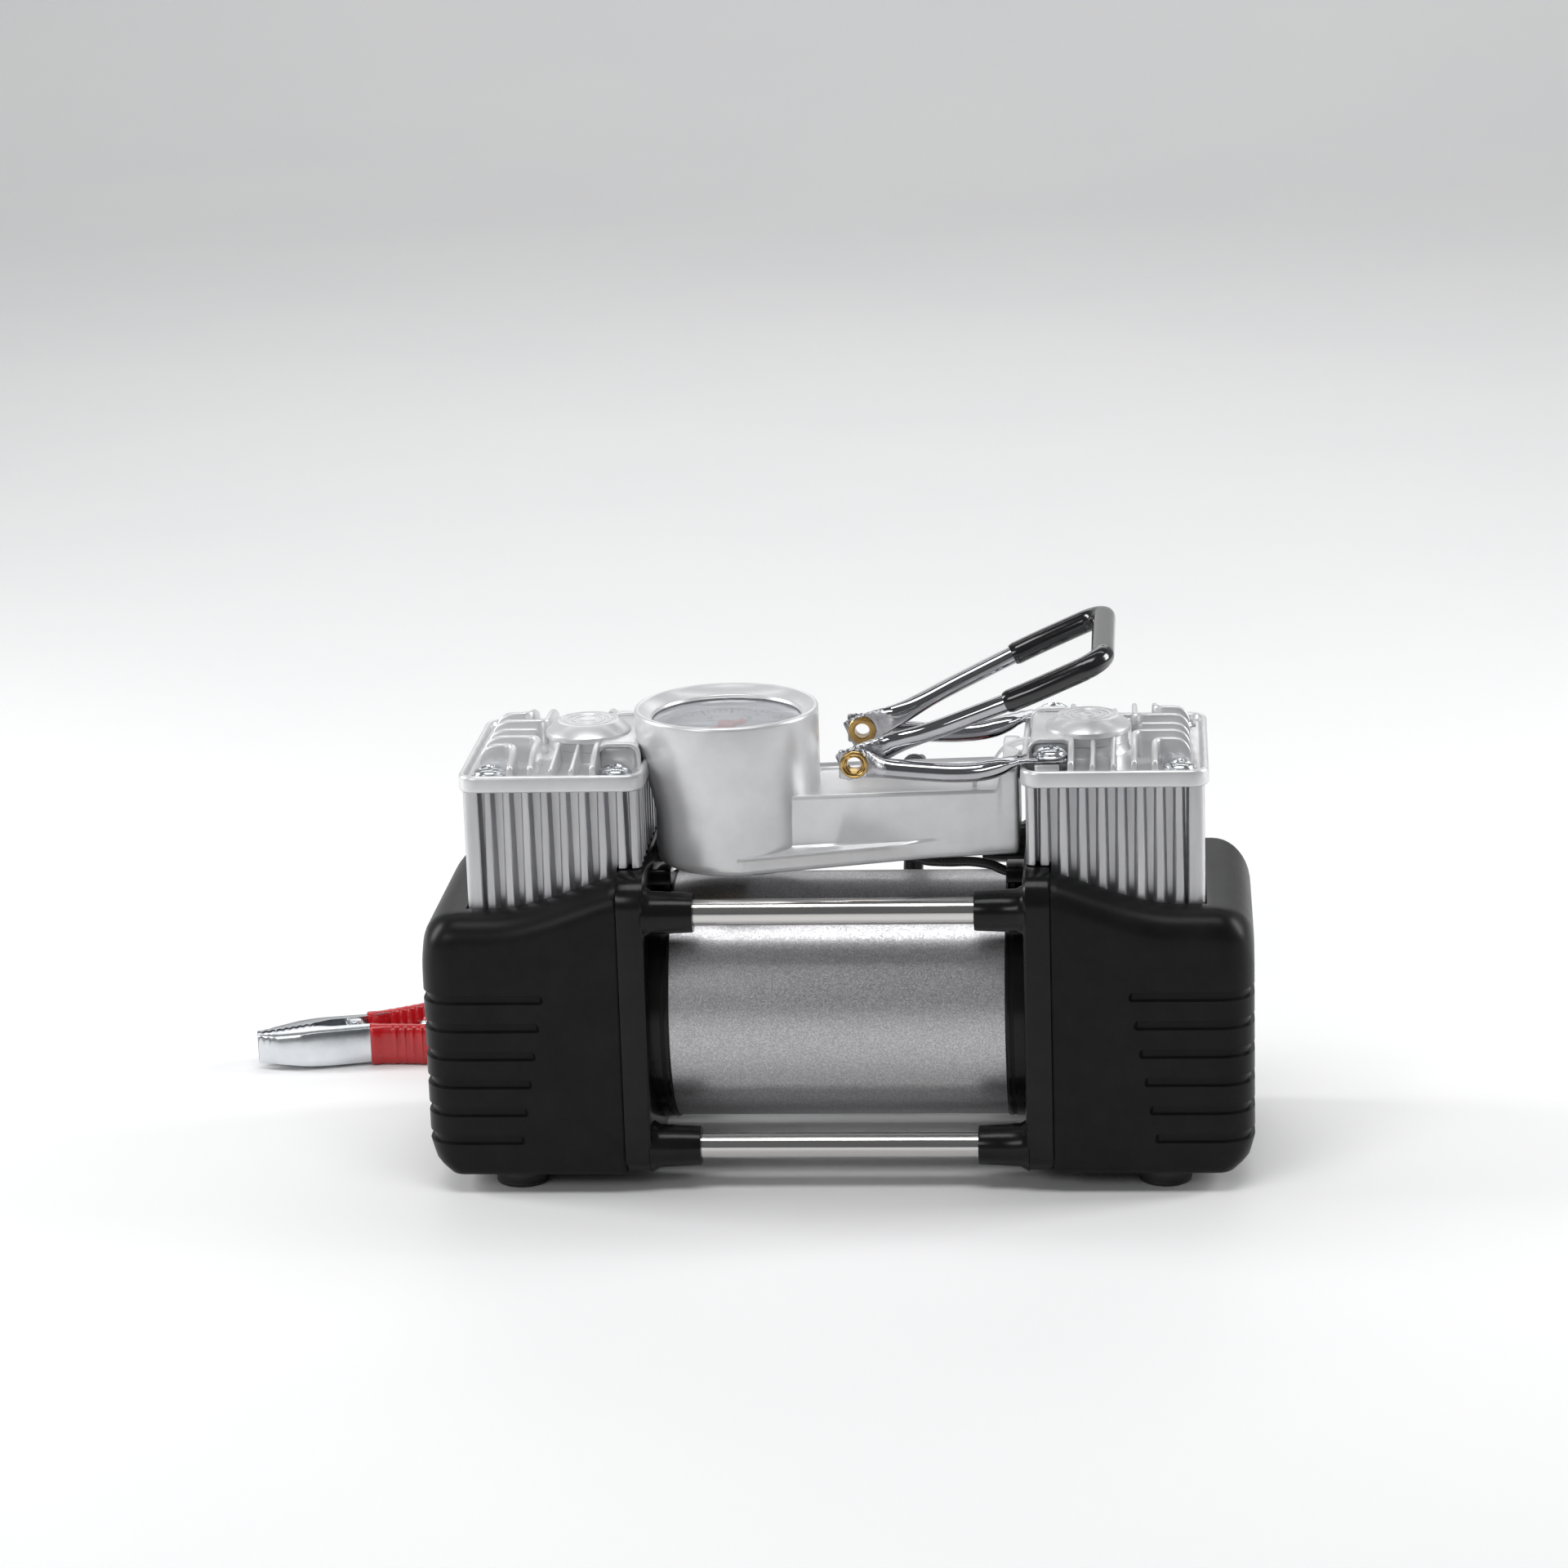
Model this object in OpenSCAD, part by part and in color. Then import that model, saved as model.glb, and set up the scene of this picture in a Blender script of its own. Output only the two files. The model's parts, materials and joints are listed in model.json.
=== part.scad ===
// Twin-cylinder 12 V air compressor with a pressure gauge, a folding carry handle and a battery-clip lead.
// Frame: origin on the surface under the middle of the unit, X along the motor shaft, +Z up.
// Most heights are counted from the motor shaft, which lies axis_z above the surface.

/* [Overall] */
// Length over the two end covers
unit_l = 250; // [248:0.5:252]
// Depth of the end covers, front to back
case_d = 88; // [86:0.5:92]
// Height of the motor shaft above the surface
axis_z = 50; // [48:0.5:54]
// Height of each rubber foot
foot_h = 6; // [4:0.5:8]

/* [Motor] */
// Outside diameter of the motor shell
motor_d = 75; // [74:0.1:75.4]
// Length of the bare silver shell
shell_l = 101.2; // [100:0.2:102]
// Wall of the motor shell
shell_wall = 2; // [1.5:0.1:2.5]
// Diameter of the motor shaft
shaft_d = 8; // [6:0.5:9]

/* [Crankcase] */
// Distance from the middle to the inner face of a crankcase plate
plate_x = 56.5; // [56.5:0.1:57]
// Thickness of a crankcase plate
plate_t = 8; // [7:0.1:8]
// Top of a crankcase plate above the shaft
plate_top = 49.6; // [49:0.1:50]
// Wall of the end covers
cover_wall = 2.5; // [2:0.1:3]
// Top of the end cover, outboard of the cylinder, above the shaft
cover_top = 37.9; // [37:0.1:38.5]
// Number of cooling grooves on each end cover
groove_n = 6; // [3:1:6]
// Distance between cooling grooves
groove_pitch = 8.9; // [8:0.1:9]
// Spread of the tie rods, centre to centre, across the depth
rod_dy = 72; // [70:0.5:72]
// Spread of the tie rods, centre to centre, in height
rod_dz = 74; // [72:0.5:74]
// Diameter of the tie rods
rod_d = 8; // [6:0.5:8]

/* [Cylinders] */
// Distance from the middle to a cylinder's centre
head_x = 84; // [84:0.1:84.3]
// Bore of the cylinders
bore_d = 30; // [28:0.5:30]
// Stroke of the pistons
stroke = 14; // [10:0.5:14]
// Width of a cylinder head along the shaft
head_w = 56; // [56:0.1:56.4]
// Depth of a cylinder head
head_d = 69; // [69:0.1:69.6]
// Underside of the cylinder heads above the shaft
deck_z = 74; // [74:0.1:74.2]
// Highest point of the head's cooling fins above the shaft
fin_top = 85.2; // [84:0.1:86]
// Distance between the cylinder's cooling fins
fin_pitch = 5.7; // [5.6:0.05:5.8]

/* [Gauge] */
// Centre of the gauge along the shaft
gauge_x = -33.1; // [-33.2:0.1:-33]
// Centre of the gauge across the depth
gauge_y = -4; // [-4.2:0.1:-3.8]
// Outside diameter of the gauge rim
gauge_d = 55.8; // [55:0.1:56]
// Top of the gauge rim above the shaft
gauge_top = 92.7; // [92:0.1:93]

/* [Handle] */
// Hinge of the carry handle along the shaft
hinge_x = 6.4; // [6:0.1:7]
// Hinge of the carry handle above the shaft
hinge_z = 78.5; // [78:0.1:79]
// Angle of the bail above horizontal as it stands
bail_angle = 24; // [20:0.5:30]
// Diameter of the bail's tube
bail_d = 5.5; // [5:0.1:5.6]
// Diameter over the grip sleeve
grip_d = 6.7; // [6.4:0.1:6.8]
// Diameter of the handle's link tubes
link_d = 6; // [5.5:0.1:6]

/* [Power lead] */
// Width of the twin lead
lead_w = 6.4; // [6:0.1:6.4]
// Diameter of each single lead to a battery clip
tail_d = 3.2; // [3:0.1:3.4]
// Middle radius of the coiled lead
coil_r = 38; // [37:0.5:39]

/* [Hidden] */
$fn = 48;

eps = 0.01;
half_l = unit_l / 2;
half_d = case_d / 2;
seam_x = plate_x + plate_t;
case_bottom = foot_h - axis_z;
shell_x = shell_l / 2;
motor_r = motor_d / 2;
shaft_r = shaft_d / 2;
crank_r = stroke / 2;
bearing_r = 11;
bearing_w = 7;
cap_x = 75.8;
fin_n = 8;
fin_t = 2.3;
fin_x0 = 63.1;
block_x0 = 57.6;
block_x1 = 110.6;
block_d = 66;
cover_screw_y = [-22, 22];
cover_screw_z = -40.2;
screw_u = [18.9, -19.3];
screw_y = 25.2;
floor_z = deck_z + 3.2;
rim_z = deck_z + 5.2;
blade_z = 80.1;
blade_t = 1.6;
outlet_at = [7, 16, 60];
gland_at = [21, 16, 61];
switch_at = [40, 16, 60.5];
nipple_r = 2.6;
nipple_z = 76.5;
elbow_r = 5.6;
elbow_u = 32.5;
elbow_y = 5;
elbow_z = 73.7;
elbow_foot = 67.6;

// ---------- helpers ----------

module from_shaft() translate([0, 0, axis_z]) children();

module on_side(side) if (side < 0) mirror([1, 0, 0]) children(); else children();

// Cylinder along X from x0 to x1
module rod_x(r, x0, x1, y = 0, z = 0) translate([x0, y, z]) rotate([0, 90, 0]) cylinder(r = r, h = x1 - x0);

// Cylinder along Y from y0 to y1
module rod_y(r, y0, y1, x = 0, z = 0) translate([x, y0, z]) rotate([-90, 0, 0]) cylinder(r = r, h = y1 - y0);

module round_rect(w, d, r) {
    square([w - 2 * r, d], center = true);
    square([w, d - 2 * r], center = true);
    for (x = [-1, 1], y = [-1, 1]) translate([x * (w / 2 - r), y * (d / 2 - r)]) circle(r);
}

// Extrudes a shape drawn in X and Z along Y, from y0 to y1
module along_y(y0, y1) translate([0, y1, 0]) rotate([90, 0, 0]) linear_extrude(y1 - y0) children();

// Extrudes a shape drawn in Y and Z along X, from x0 to x1
module along_x(x0, x1) translate([x0, 0, 0]) rotate([90, 0, 90]) linear_extrude(x1 - x0) children();

function unit(v) = v / norm(v);
function tangent(p, i) = unit(p[min(i + 1, len(p) - 1)] - p[max(i - 1, 0)]);

// Side vector of the tube's first ring, then the same vector carried along the path so that no ring twists
function first_side(t) = abs(t[2]) > 0.9 ? unit(cross(t, [1, 0, 0])) : unit(cross(t, [0, 0, 1]));
function carry(t, a) = unit(a - (a * t) * t);
function sides(p, i = 0, out = []) = i == len(p) ? out :
    let (t = tangent(p, i)) sides(p, i + 1, concat(out, [i == 0 ? first_side(t) : carry(t, out[i - 1])]));

function flat(list) = [for (part = list) for (item = part) item];

// Tube of radius r along the points p, with n sides
module tube(p, r, n = 10) {
    side = sides(p);
    last = len(p) - 1;
    points = flat([for (i = [0:last]) let (a = side[i], b = cross(tangent(p, i), a))
        [for (k = [0:n - 1]) p[i] + r * cos(360 * k / n) * a + r * sin(360 * k / n) * b]]);
    walls = [for (i = [0:last - 1], k = [0:n - 1])
        [i * n + k, (i + 1) * n + k, (i + 1) * n + (k + 1) % n, i * n + (k + 1) % n]];
    ends = [[for (k = [0:n - 1]) k], [for (k = [n - 1:-1:0]) last * n + k]];
    polyhedron(points, concat(walls, ends), convexity = 6);
}

// ---------- motor ----------

module motor_shell() color([0.72, 0.72, 0.74]) from_shaft() difference() {
    rod_x(motor_r, -shell_x, shell_x);
    rod_x(motor_r - shell_wall, -shell_x - 1, shell_x + 1);
}

module motor_cap(side, brushes = false) on_side(side) difference() {
    union() {
        rod_x(motor_r + 0.4, shell_x, plate_x);
        rod_x(motor_r - shell_wall - 0.05, shell_x - 4, shell_x + eps);
        if (brushes) for (s = [-1, 1]) translate([33, s * 24 - 9.5, -6]) cube([shell_x - 33 - 3, 19, 12]);
    }
    rod_x(bearing_r, plate_x - bearing_w, plate_x + 1);
    rod_x(shaft_r + 1.5, shell_x - 5, plate_x);
    if (brushes) {
        for (s = [-1, 1]) translate([34.5, s * 24 - 10, -4]) cube([7, 20, 8]);
        rod_x(14.5, 30, shell_x - 4.5);
    }
}

module motor_cap_left() color([0.05, 0.05, 0.05]) from_shaft() motor_cap(-1);
module motor_cap_right() color([0.05, 0.05, 0.05]) from_shaft() motor_cap(1, true);

module stator_magnets() color([0.2, 0.2, 0.22]) from_shaft() difference() {
    rod_x(motor_r - shell_wall - 0.05, -27, 27);
    rod_x(29.8, -28, 28);
    cube([60, 80, 24], center = true);
}

module carbon_brushes() color([0.12, 0.12, 0.12]) from_shaft()
    for (s = [-1, 1]) translate([34.6, s * 20.6 - 7.3, -3.9]) cube([6.8, 14.6, 7.8]);

module shaft_bearings() color([0.75, 0.76, 0.78]) from_shaft() for (s = [-1, 1]) on_side(s) difference() {
    rod_x(bearing_r, plate_x - bearing_w, plate_x);
    rod_x(shaft_r + 0.05, plate_x - bearing_w - 1, plate_x + 1);
}

module motor_shaft() color([0.7, 0.71, 0.73]) from_shaft() rod_x(shaft_r, -74, 74);

module armature_core() color([0.55, 0.5, 0.48]) from_shaft() difference() {
    rod_x(29, -24, 24);
    rod_x(shaft_r, -25, 25);
    for (a = [0:30:330]) rotate([a, 0, 0]) {
        translate([-25, -1.2, 24]) cube([50, 2.4, 6]);
        rod_x(3.4, -25, 25, 0, 21.5);
    }
}

module armature_windings() color([0.72, 0.36, 0.16]) from_shaft() for (s = [-1, 1]) on_side(s)
    rotate([0, 90, 0]) rotate_extrude() translate([10, 24]) square([15, s > 0 ? 8 : 9]);

module commutator() color([0.75, 0.42, 0.22]) from_shaft() difference() {
    rod_x(13.2, 33.4, 43);
    rod_x(shaft_r, 33, 44);
    for (a = [0:30:330]) rotate([a, 0, 0]) translate([34.4, -0.4, 12.4]) cube([9.6, 0.8, 2]);
}

// ---------- crankcase ----------

module plate_outline() difference() {
    union() {
        translate([-half_d, case_bottom + 8]) square([case_d, plate_top - case_bottom - 18]);
        translate([-half_d + 10, case_bottom]) square([case_d - 20, plate_top - case_bottom]);
        for (s = [-1, 1]) {
            translate([s * (half_d - 10), plate_top - 10]) circle(10);
            translate([s * (half_d - 6), case_bottom + 6]) circle(6);
            translate([s * (half_d - 8) - 2, case_bottom]) square([4, 10]);
        }
        translate([-half_d, case_bottom + 6]) square([case_d, 4]);
    }
    circle(13);
}

module crankcase_plate(side) on_side(side) {
    difference() {
        union() {
            along_x(plate_x, seam_x) plate_outline();
            for (y = [-1, 1], z = [-1, 1]) translate([41.85, y * rod_dy / 2, z * rod_dz / 2])
                rotate([0, 90, 0]) cylinder(r1 = 6, r2 = 6.75, h = plate_x - 41.85 + eps);
        }
        for (y = [-1, 1], z = [-1, 1]) rod_x(rod_d / 2 + 0.05, 41, 60, y * rod_dy / 2, z * rod_dz / 2);
        rod_x(motor_r + 0.45, 40, plate_x);
        for (y = cover_screw_y) rod_x(1.6, plate_x - 1, seam_x + 1, y, cover_screw_z);
    }
    difference() {
        translate([50.8, -15, 38.6]) cube([plate_x - 50.8 + eps, 10, 5.4]);
        rod_x(1.6, 50, 55, -10, 41.4);
    }
}

module crankcase_plate_left() color([0.06, 0.06, 0.06]) from_shaft() crankcase_plate(-1);
module crankcase_plate_right() color([0.06, 0.06, 0.06]) from_shaft() crankcase_plate(1);

// Height of the cover's top at distance x from the middle: a smooth step up towards the motor
function cover_z(x) = cover_top + 6.2 * (1 + cos(180 * min(max((x - 50) / 54, 0), 1)));

// Side view of the cover, inset by a wall
module cover_side(inset) {
    r = 12 - inset;
    x1 = half_l - inset;
    steps = 14;
    polygon(concat(
        [[seam_x - 1, case_bottom + inset], [x1 - 6, case_bottom + inset],
            [x1 - 1.6, case_bottom + inset + 4.4]],
        [for (a = [0:15:90]) [x1 - r + r * cos(a), cover_top - 12 + r * sin(a)]],
        [for (i = [0:steps]) let (x = 106 - i * (106 - seam_x + 1) / steps) [x, cover_z(x) - inset]]));
}

// Top view of the cover, inset by a wall, rounded at the outboard corners
module cover_plan(inset) {
    r = 10 - inset;
    x1 = half_l - 10;
    y1 = half_d - 10;
    polygon(concat([[seam_x - 1, -half_d + inset]],
        [for (a = [-90:11.25:0]) [x1 + r * cos(a), -y1 + r * sin(a)]],
        [for (a = [0:11.25:90]) [x1 + r * cos(a), y1 + r * sin(a)]],
        [[seam_x - 1, half_d - inset]]));
}

// Solid cover form, inset by a wall, running on past the seam
module cover_form(inset) intersection() {
    along_y(-half_d, half_d) cover_side(inset);
    translate([0, 0, -60]) linear_extrude(120) cover_plan(inset);
}

// Grooves that run back from the front, round the outboard end
module groove_bands() for (k = [0:groove_n - 1])
    translate([87.4 + 1.5 * k, -half_d - 1, 10.7 - groove_pitch * k]) cube([60, case_d + 2, 3]);

module end_cover(side) on_side(side) difference() {
    union() {
        difference() {
            intersection() {
                cover_form(0);
                translate([seam_x, -60, -60]) cube([80, 120, 130]);
            }
            cover_form(cover_wall);
        }
        for (y = cover_screw_y) rod_x(3.4, seam_x, seam_x + 12, y, cover_screw_z);
    }
    translate([seam_x - 1, -block_d / 2 - 0.4, 25]) cube([block_x1 + 0.4 - seam_x + 1, block_d + 0.8, 40]);
    intersection() {
        groove_bands();
        difference() {
            cover_form(-1);
            cover_form(1.2);
        }
    }
    for (y = [-1, 1]) translate([98, y * 30, case_bottom - 1]) cylinder(r = 1.6, h = 6);
    for (y = cover_screw_y) rod_x(1.55, seam_x - 1, seam_x + 10, y, cover_screw_z);
}

module end_cover_left() color([0.08, 0.08, 0.08]) from_shaft() end_cover(-1);
module end_cover_right() color([0.08, 0.08, 0.08]) from_shaft() end_cover(1);

module tie_rods() color([0.78, 0.77, 0.74]) from_shaft()
    for (y = [-1, 1], z = [-1, 1]) rod_x(rod_d / 2, -59.5, 59.5, y * rod_dy / 2, z * rod_dz / 2);

module at_feet() for (x = [-98, 98], y = [-30, 30]) translate([x, y, 0]) children();

module rubber_feet() color([0.07, 0.07, 0.07]) at_feet() difference() {
    union() {
        cylinder(r = 8, h = foot_h);
        translate([0, 0, foot_h - 2.5]) cylinder(r = 9, h = 2.5);
    }
    translate([0, 0, -1]) cylinder(r = 3.6, h = 4);
    cylinder(r = 1.6, h = foot_h + 1);
}

module foot_screws() color([0.75, 0.76, 0.78]) at_feet() {
    translate([0, 0, 1]) cylinder(r = 3.4, h = 2);
    translate([0, 0, 2]) cylinder(r = 1.5, h = foot_h + 1.6);
}

// Screws from the motor side, through the crankcase plate into bosses in the cover
module cover_screws() color([0.75, 0.76, 0.78]) from_shaft()
    for (s = [-1, 1], y = cover_screw_y) on_side(s) difference() {
        union() {
            rod_x(2.4, plate_x - 1.6, plate_x, y, cover_screw_z);
            rod_x(1.5, plate_x - 1, seam_x + 9, y, cover_screw_z);
        }
        translate([plate_x - 2, y - 1.7, cover_screw_z - 0.3]) cube([1, 3.4, 0.6]);
    }

// ---------- crank drive ----------

// The pin side is +1 when the pin stands above the shaft and -1 when it stands below
module crank_disc(side, up) on_side(side) difference() {
    union() {
        difference() {
            rod_x(15, 67.5, 74);
            translate([67, -16, up > 0 ? 11.6 : -18]) cube([8, 32, 6.4]);
        }
        rod_x(3.95, 73, 79.4, 0, up * crank_r);
    }
    rod_x(shaft_r, 66, 74);
}

module crank_disc_left() color([0.55, 0.56, 0.58]) from_shaft() crank_disc(-1, 1);
module crank_disc_right() color([0.55, 0.56, 0.58]) from_shaft() crank_disc(1, -1);

// Wobble piston: rod and piston head in one piece, drawn with its big end at height z0
module con_rod(side, z0) on_side(side) translate([0, 0, z0]) difference() {
    union() {
        rod_x(14, 80, 88);
        translate([80.5, -5, 8]) cube([7, 10, 52]);
        translate([head_x, 0, 57]) cylinder(r1 = 6, r2 = 14, h = 2);
        translate([head_x, 0, 59]) cylinder(r = 14, h = 2.5);
        translate([head_x, 0, 61]) cylinder(r = 9, h = 3.6);
    }
    rod_x(bearing_r, 79, 89);
    translate([79, -2, 14]) cube([2.2, 4, 40]);
    translate([86.8, -2, 14]) cube([2.2, 4, 40]);
}

module crank_bearing(side, z0) on_side(side) difference() {
    rod_x(bearing_r, 80.5, 80.5 + bearing_w, 0, z0);
    rod_x(4, 79, 89, 0, z0);
}

module piston_cup(side, z0) on_side(side) translate([head_x, 0, z0]) rotate_extrude()
    polygon([[9, 61.5], [bore_d / 2 - 0.9, 61.5], [bore_d / 2 - 0.05, 62.5], [bore_d / 2 - 0.05, 65],
        [bore_d / 2 - 0.9, 65], [bore_d / 2 - 1.6, 62.9], [9, 62.9]]);

module con_rod_left() color([0.66, 0.67, 0.69]) from_shaft() con_rod(-1, crank_r);
module con_rod_right() color([0.66, 0.67, 0.69]) from_shaft() con_rod(1, -crank_r);
module crank_bearing_left() color([0.75, 0.76, 0.78]) from_shaft() crank_bearing(-1, crank_r);
module crank_bearing_right() color([0.75, 0.76, 0.78]) from_shaft() crank_bearing(1, -crank_r);
module piston_cup_left() color([0.2, 0.2, 0.21]) from_shaft() piston_cup(-1, crank_r);
module piston_cup_right() color([0.2, 0.2, 0.21]) from_shaft() piston_cup(1, -crank_r);

// ---------- cylinders and heads ----------

// u counts from the cylinder's centre towards the motor
module at_head(side) on_side(side) translate([head_x, 0, 0]) mirror([1, 0, 0]) children();

module screw_places() for (u = screw_u, y = [-screw_y, screw_y]) translate([u, y, 0]) children();

module cylinder_block(side) on_side(side) {
    xm = (block_x0 + block_x1) / 2;
    difference() {
        union() {
            translate([block_x0 + 4.5, -block_d / 2 + 4.5, 33])
                cube([block_x1 - block_x0 - 9, block_d - 9, deck_z - 33]);
            for (k = [0:fin_n - 1]) translate([fin_x0 + fin_pitch * k - fin_t / 2, -block_d / 2, 33])
                cube([fin_t, block_d, deck_z - 33]);
            for (k = [-4:4]) translate([block_x0, fin_pitch * k * 1.12 - fin_t / 2, 33])
                cube([block_x1 - block_x0, fin_t, deck_z - 33]);
            for (x = [block_x0 + 2.4, block_x1 - 2.4], y = [-1, 1])
                translate([x, y * (block_d / 2 - 2.4), 33]) cylinder(r = 2.4, h = deck_z - 33);
            translate([block_x1 - 4.8, -block_d / 2, 33]) cube([2.4, block_d, deck_z - 33]);
            translate([block_x0, -block_d / 2 + 0.8, deck_z - 2])
                cube([block_x1 - block_x0, block_d - 1.6, 2]);
            translate([head_x, 0, 18]) cylinder(r = 19, h = 16);
        }
        translate([head_x, 0, 0]) cylinder(r = bore_d / 2, h = 90);
        translate([50, -40, 17]) cube([seam_x + 0.3 - 50, 80, plate_top + 0.3 - 17]);
        for (u = screw_u, y = [-screw_y, screw_y])
            translate([head_x - u, y, deck_z - 14]) cylinder(r = 2.1, h = 20);
    }
}

module cylinder_left() color([0.7, 0.7, 0.72]) from_shaft() cylinder_block(-1);
module cylinder_right() color([0.7, 0.7, 0.72]) from_shaft() cylinder_block(1);

module valve_plate(side) at_head(side) difference() {
    translate([0, 0, deck_z]) linear_extrude(1.2) round_rect(head_w - 4, head_d - 4, 4);
    translate([head_x - cap_x, 0, 70]) cylinder(r = 3, h = 10);
    translate([-7, 0, 70]) cylinder(r = 3, h = 10);
    screw_places() translate([0, 0, 70]) cylinder(r = 2.1, h = 10);
}

module valve_plate_left() color([0.75, 0.76, 0.78]) from_shaft() valve_plate(-1);
module valve_plate_right() color([0.75, 0.76, 0.78]) from_shaft() valve_plate(1);

module reed_valves() color([0.6, 0.62, 0.66]) from_shaft() for (s = [-1, 1]) at_head(s)
    translate([-11, -4, deck_z - 0.35]) cube([14, 8, 0.35]);

// Side view of a fin that slopes down to the head's edge, from y0 at the back to the edge
module fin_leg(u, y0) translate([u - 0.95, 0, 0]) along_x(0, 1.9)
    polygon([[y0, floor_z - eps], [y0, fin_top], [min(y0, 18.5), fin_top], [head_d / 2 - 2.2, 81.6],
        [head_d / 2 - 0.8, 80.6], [head_d / 2 - 0.3, rim_z], [head_d / 2 - 1, floor_z - eps]]);

module fin_bar(u0, u1, y) translate([u0, y - 0.95, floor_z - eps]) cube([u1 - u0, 1.9, fin_top - floor_z]);

// Fins on one half of the head, for y above 0
module half_fins() {
    fin_leg(-11.9, 17.6);
    fin_bar(-22.5, -10.95, 18.5);
    translate([-22.5, 18, floor_z - eps]) cube([1.9, 2.4, fin_top - floor_z - 1]);
    fin_leg(-5.8, 8.3);
    fin_bar(-22.5, -4.85, 9.25);
    for (u = [0.3, 6.5]) fin_leg(u, 18.5);
    fin_leg(12.85, 17.6);
    fin_bar(11.9, 26, 18.5);
}

module cylinder_head(side) at_head(side) difference() {
    union() {
        translate([0, 0, deck_z]) linear_extrude(rim_z - deck_z) round_rect(head_w, head_d, 6);
        translate([12, -18.5, floor_z - eps]) cube([14, 37, fin_top - floor_z]);
        for (s = [0, 1]) mirror([0, s, 0]) half_fins();
        fin_bar(-22.5, -10, 0);
        if (side < 0) rod_x(nipple_r, 26.6, 31.8, gauge_y, nipple_z);
        if (side > 0) {
            for (y = [-screw_y, screw_y])
                translate([16.2, y - 5.5, floor_z - eps]) cube([7.4, 9, blade_z - floor_z]);
            rod_x(elbow_r, 26.6, elbow_u, elbow_y, elbow_z);
            translate([elbow_u, elbow_y, elbow_foot]) cylinder(r = elbow_r - 0.3, h = 11.4);
        }
    }
    translate([0, 0, deck_z - 1]) linear_extrude(2.2) round_rect(head_w - 3.6, head_d - 3.6, 4.2);
    difference() {
        translate([0, 0, floor_z]) linear_extrude(3) round_rect(head_w - 3.6, head_d - 3.6, 4.4);
        translate([12, -18.5, 70]) cube([14, 37, 20]);
        for (s = [0, 1]) mirror([0, s, 0]) half_fins();
        fin_bar(-22.5, -10, 0);
        if (side > 0) for (y = [-screw_y, screw_y]) translate([16.2, y - 5.5, 70]) cube([7.4, 9, 20]);
    }
    screw_places() translate([0, 0, 70]) cylinder(r = 2.1, h = 20);
    translate([head_x - cap_x, 0, floor_z]) cylinder(r = 12.75, h = 12);
    translate([head_x - cap_x, 0, 70]) cylinder(r = 8, h = 12);
    if (side < 0) translate([head_x + gauge_x, gauge_y, rim_z + eps]) cylinder(r = gauge_d / 2 + 0.4, h = 20);
    // room for the handle's flattened ends
    if (side > 0) for (s = [-1, 1]) translate([14, s * screw_y - 5, blade_z]) cube([20, 10, 10]);
}

module cylinder_head_left() color([0.76, 0.76, 0.78]) from_shaft() cylinder_head(-1);
module cylinder_head_right() color([0.76, 0.76, 0.78]) from_shaft() cylinder_head(1);

module valve_cap(side) on_side(side) translate([cap_x, 0, 0]) rotate_extrude()
    polygon([[0, 84], [5, 84], [5, deck_z + 1.3], [7.95, deck_z + 1.3], [7.95, floor_z], [12.7, floor_z],
        [12.7, 84.8], [9.6, 87.6], [7.3, 87.8], [7, 87.4], [6, 87.4], [5.7, 87.8], [4.9, 87.8], [4.6, 87.4],
        [3.6, 87.4], [3.3, 87.8], [2.5, 87.8], [2.2, 87.4], [0, 87.4]]);

module valve_cap_left() color([0.78, 0.78, 0.8]) from_shaft() valve_cap(-1);
module valve_cap_right() color([0.78, 0.78, 0.8]) from_shaft() valve_cap(1);

// Pan-head screw with a washer, seated at height z
module pan_screw(z, shank) translate([0, 0, z]) difference() {
    union() {
        cylinder(r = 5, h = 0.8);
        translate([0, 0, 0.8]) cylinder(r = 4.4, h = 0.9);
        translate([0, 0, 1.7]) cylinder(r1 = 4.4, r2 = 2.8, h = 0.9);
        translate([0, 0, -shank]) cylinder(r = 2, h = shank + 1);
    }
    for (a = [0, 90]) rotate([0, 0, a]) translate([-2.6, -0.5, 1.5]) cube([5.2, 1, 2]);
}

module head_screws() color([0.8, 0.81, 0.83]) from_shaft() for (s = [-1, 1]) at_head(s)
    for (u = screw_u, y = [-screw_y, screw_y]) translate([u, y, 0]) {
        lifted = s > 0 && u > 0;
        pan_screw(lifted ? blade_z + blade_t : floor_z, lifted ? 20 : 15.6);
    }

// ---------- gauge and manifold ----------

low_x = -30.4;
low_r = 25.2;
arm_y = [-22, 16];

// Side view of the arm: sloped underside, sloped tray, a raised wall at the outboard end
module arm_side() polygon([[-25, 45.8], [55, 50], [55, 77], [50, 77], [49, 73.4], [-12, 69], [-25, 69]]);

module gauge_body() {
    hull() {
        translate([gauge_x, gauge_y, 84]) cylinder(r = gauge_d / 2, h = gauge_top - 84);
        translate([low_x, gauge_y, 62]) cylinder(r = low_r, h = 1);
    }
    translate([low_x, gauge_y, 48]) cylinder(r = low_r, h = 16);
    translate([low_x, gauge_y, 45.4]) cylinder(r1 = low_r - 2.6, r2 = low_r, h = 2.61);
}

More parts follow.
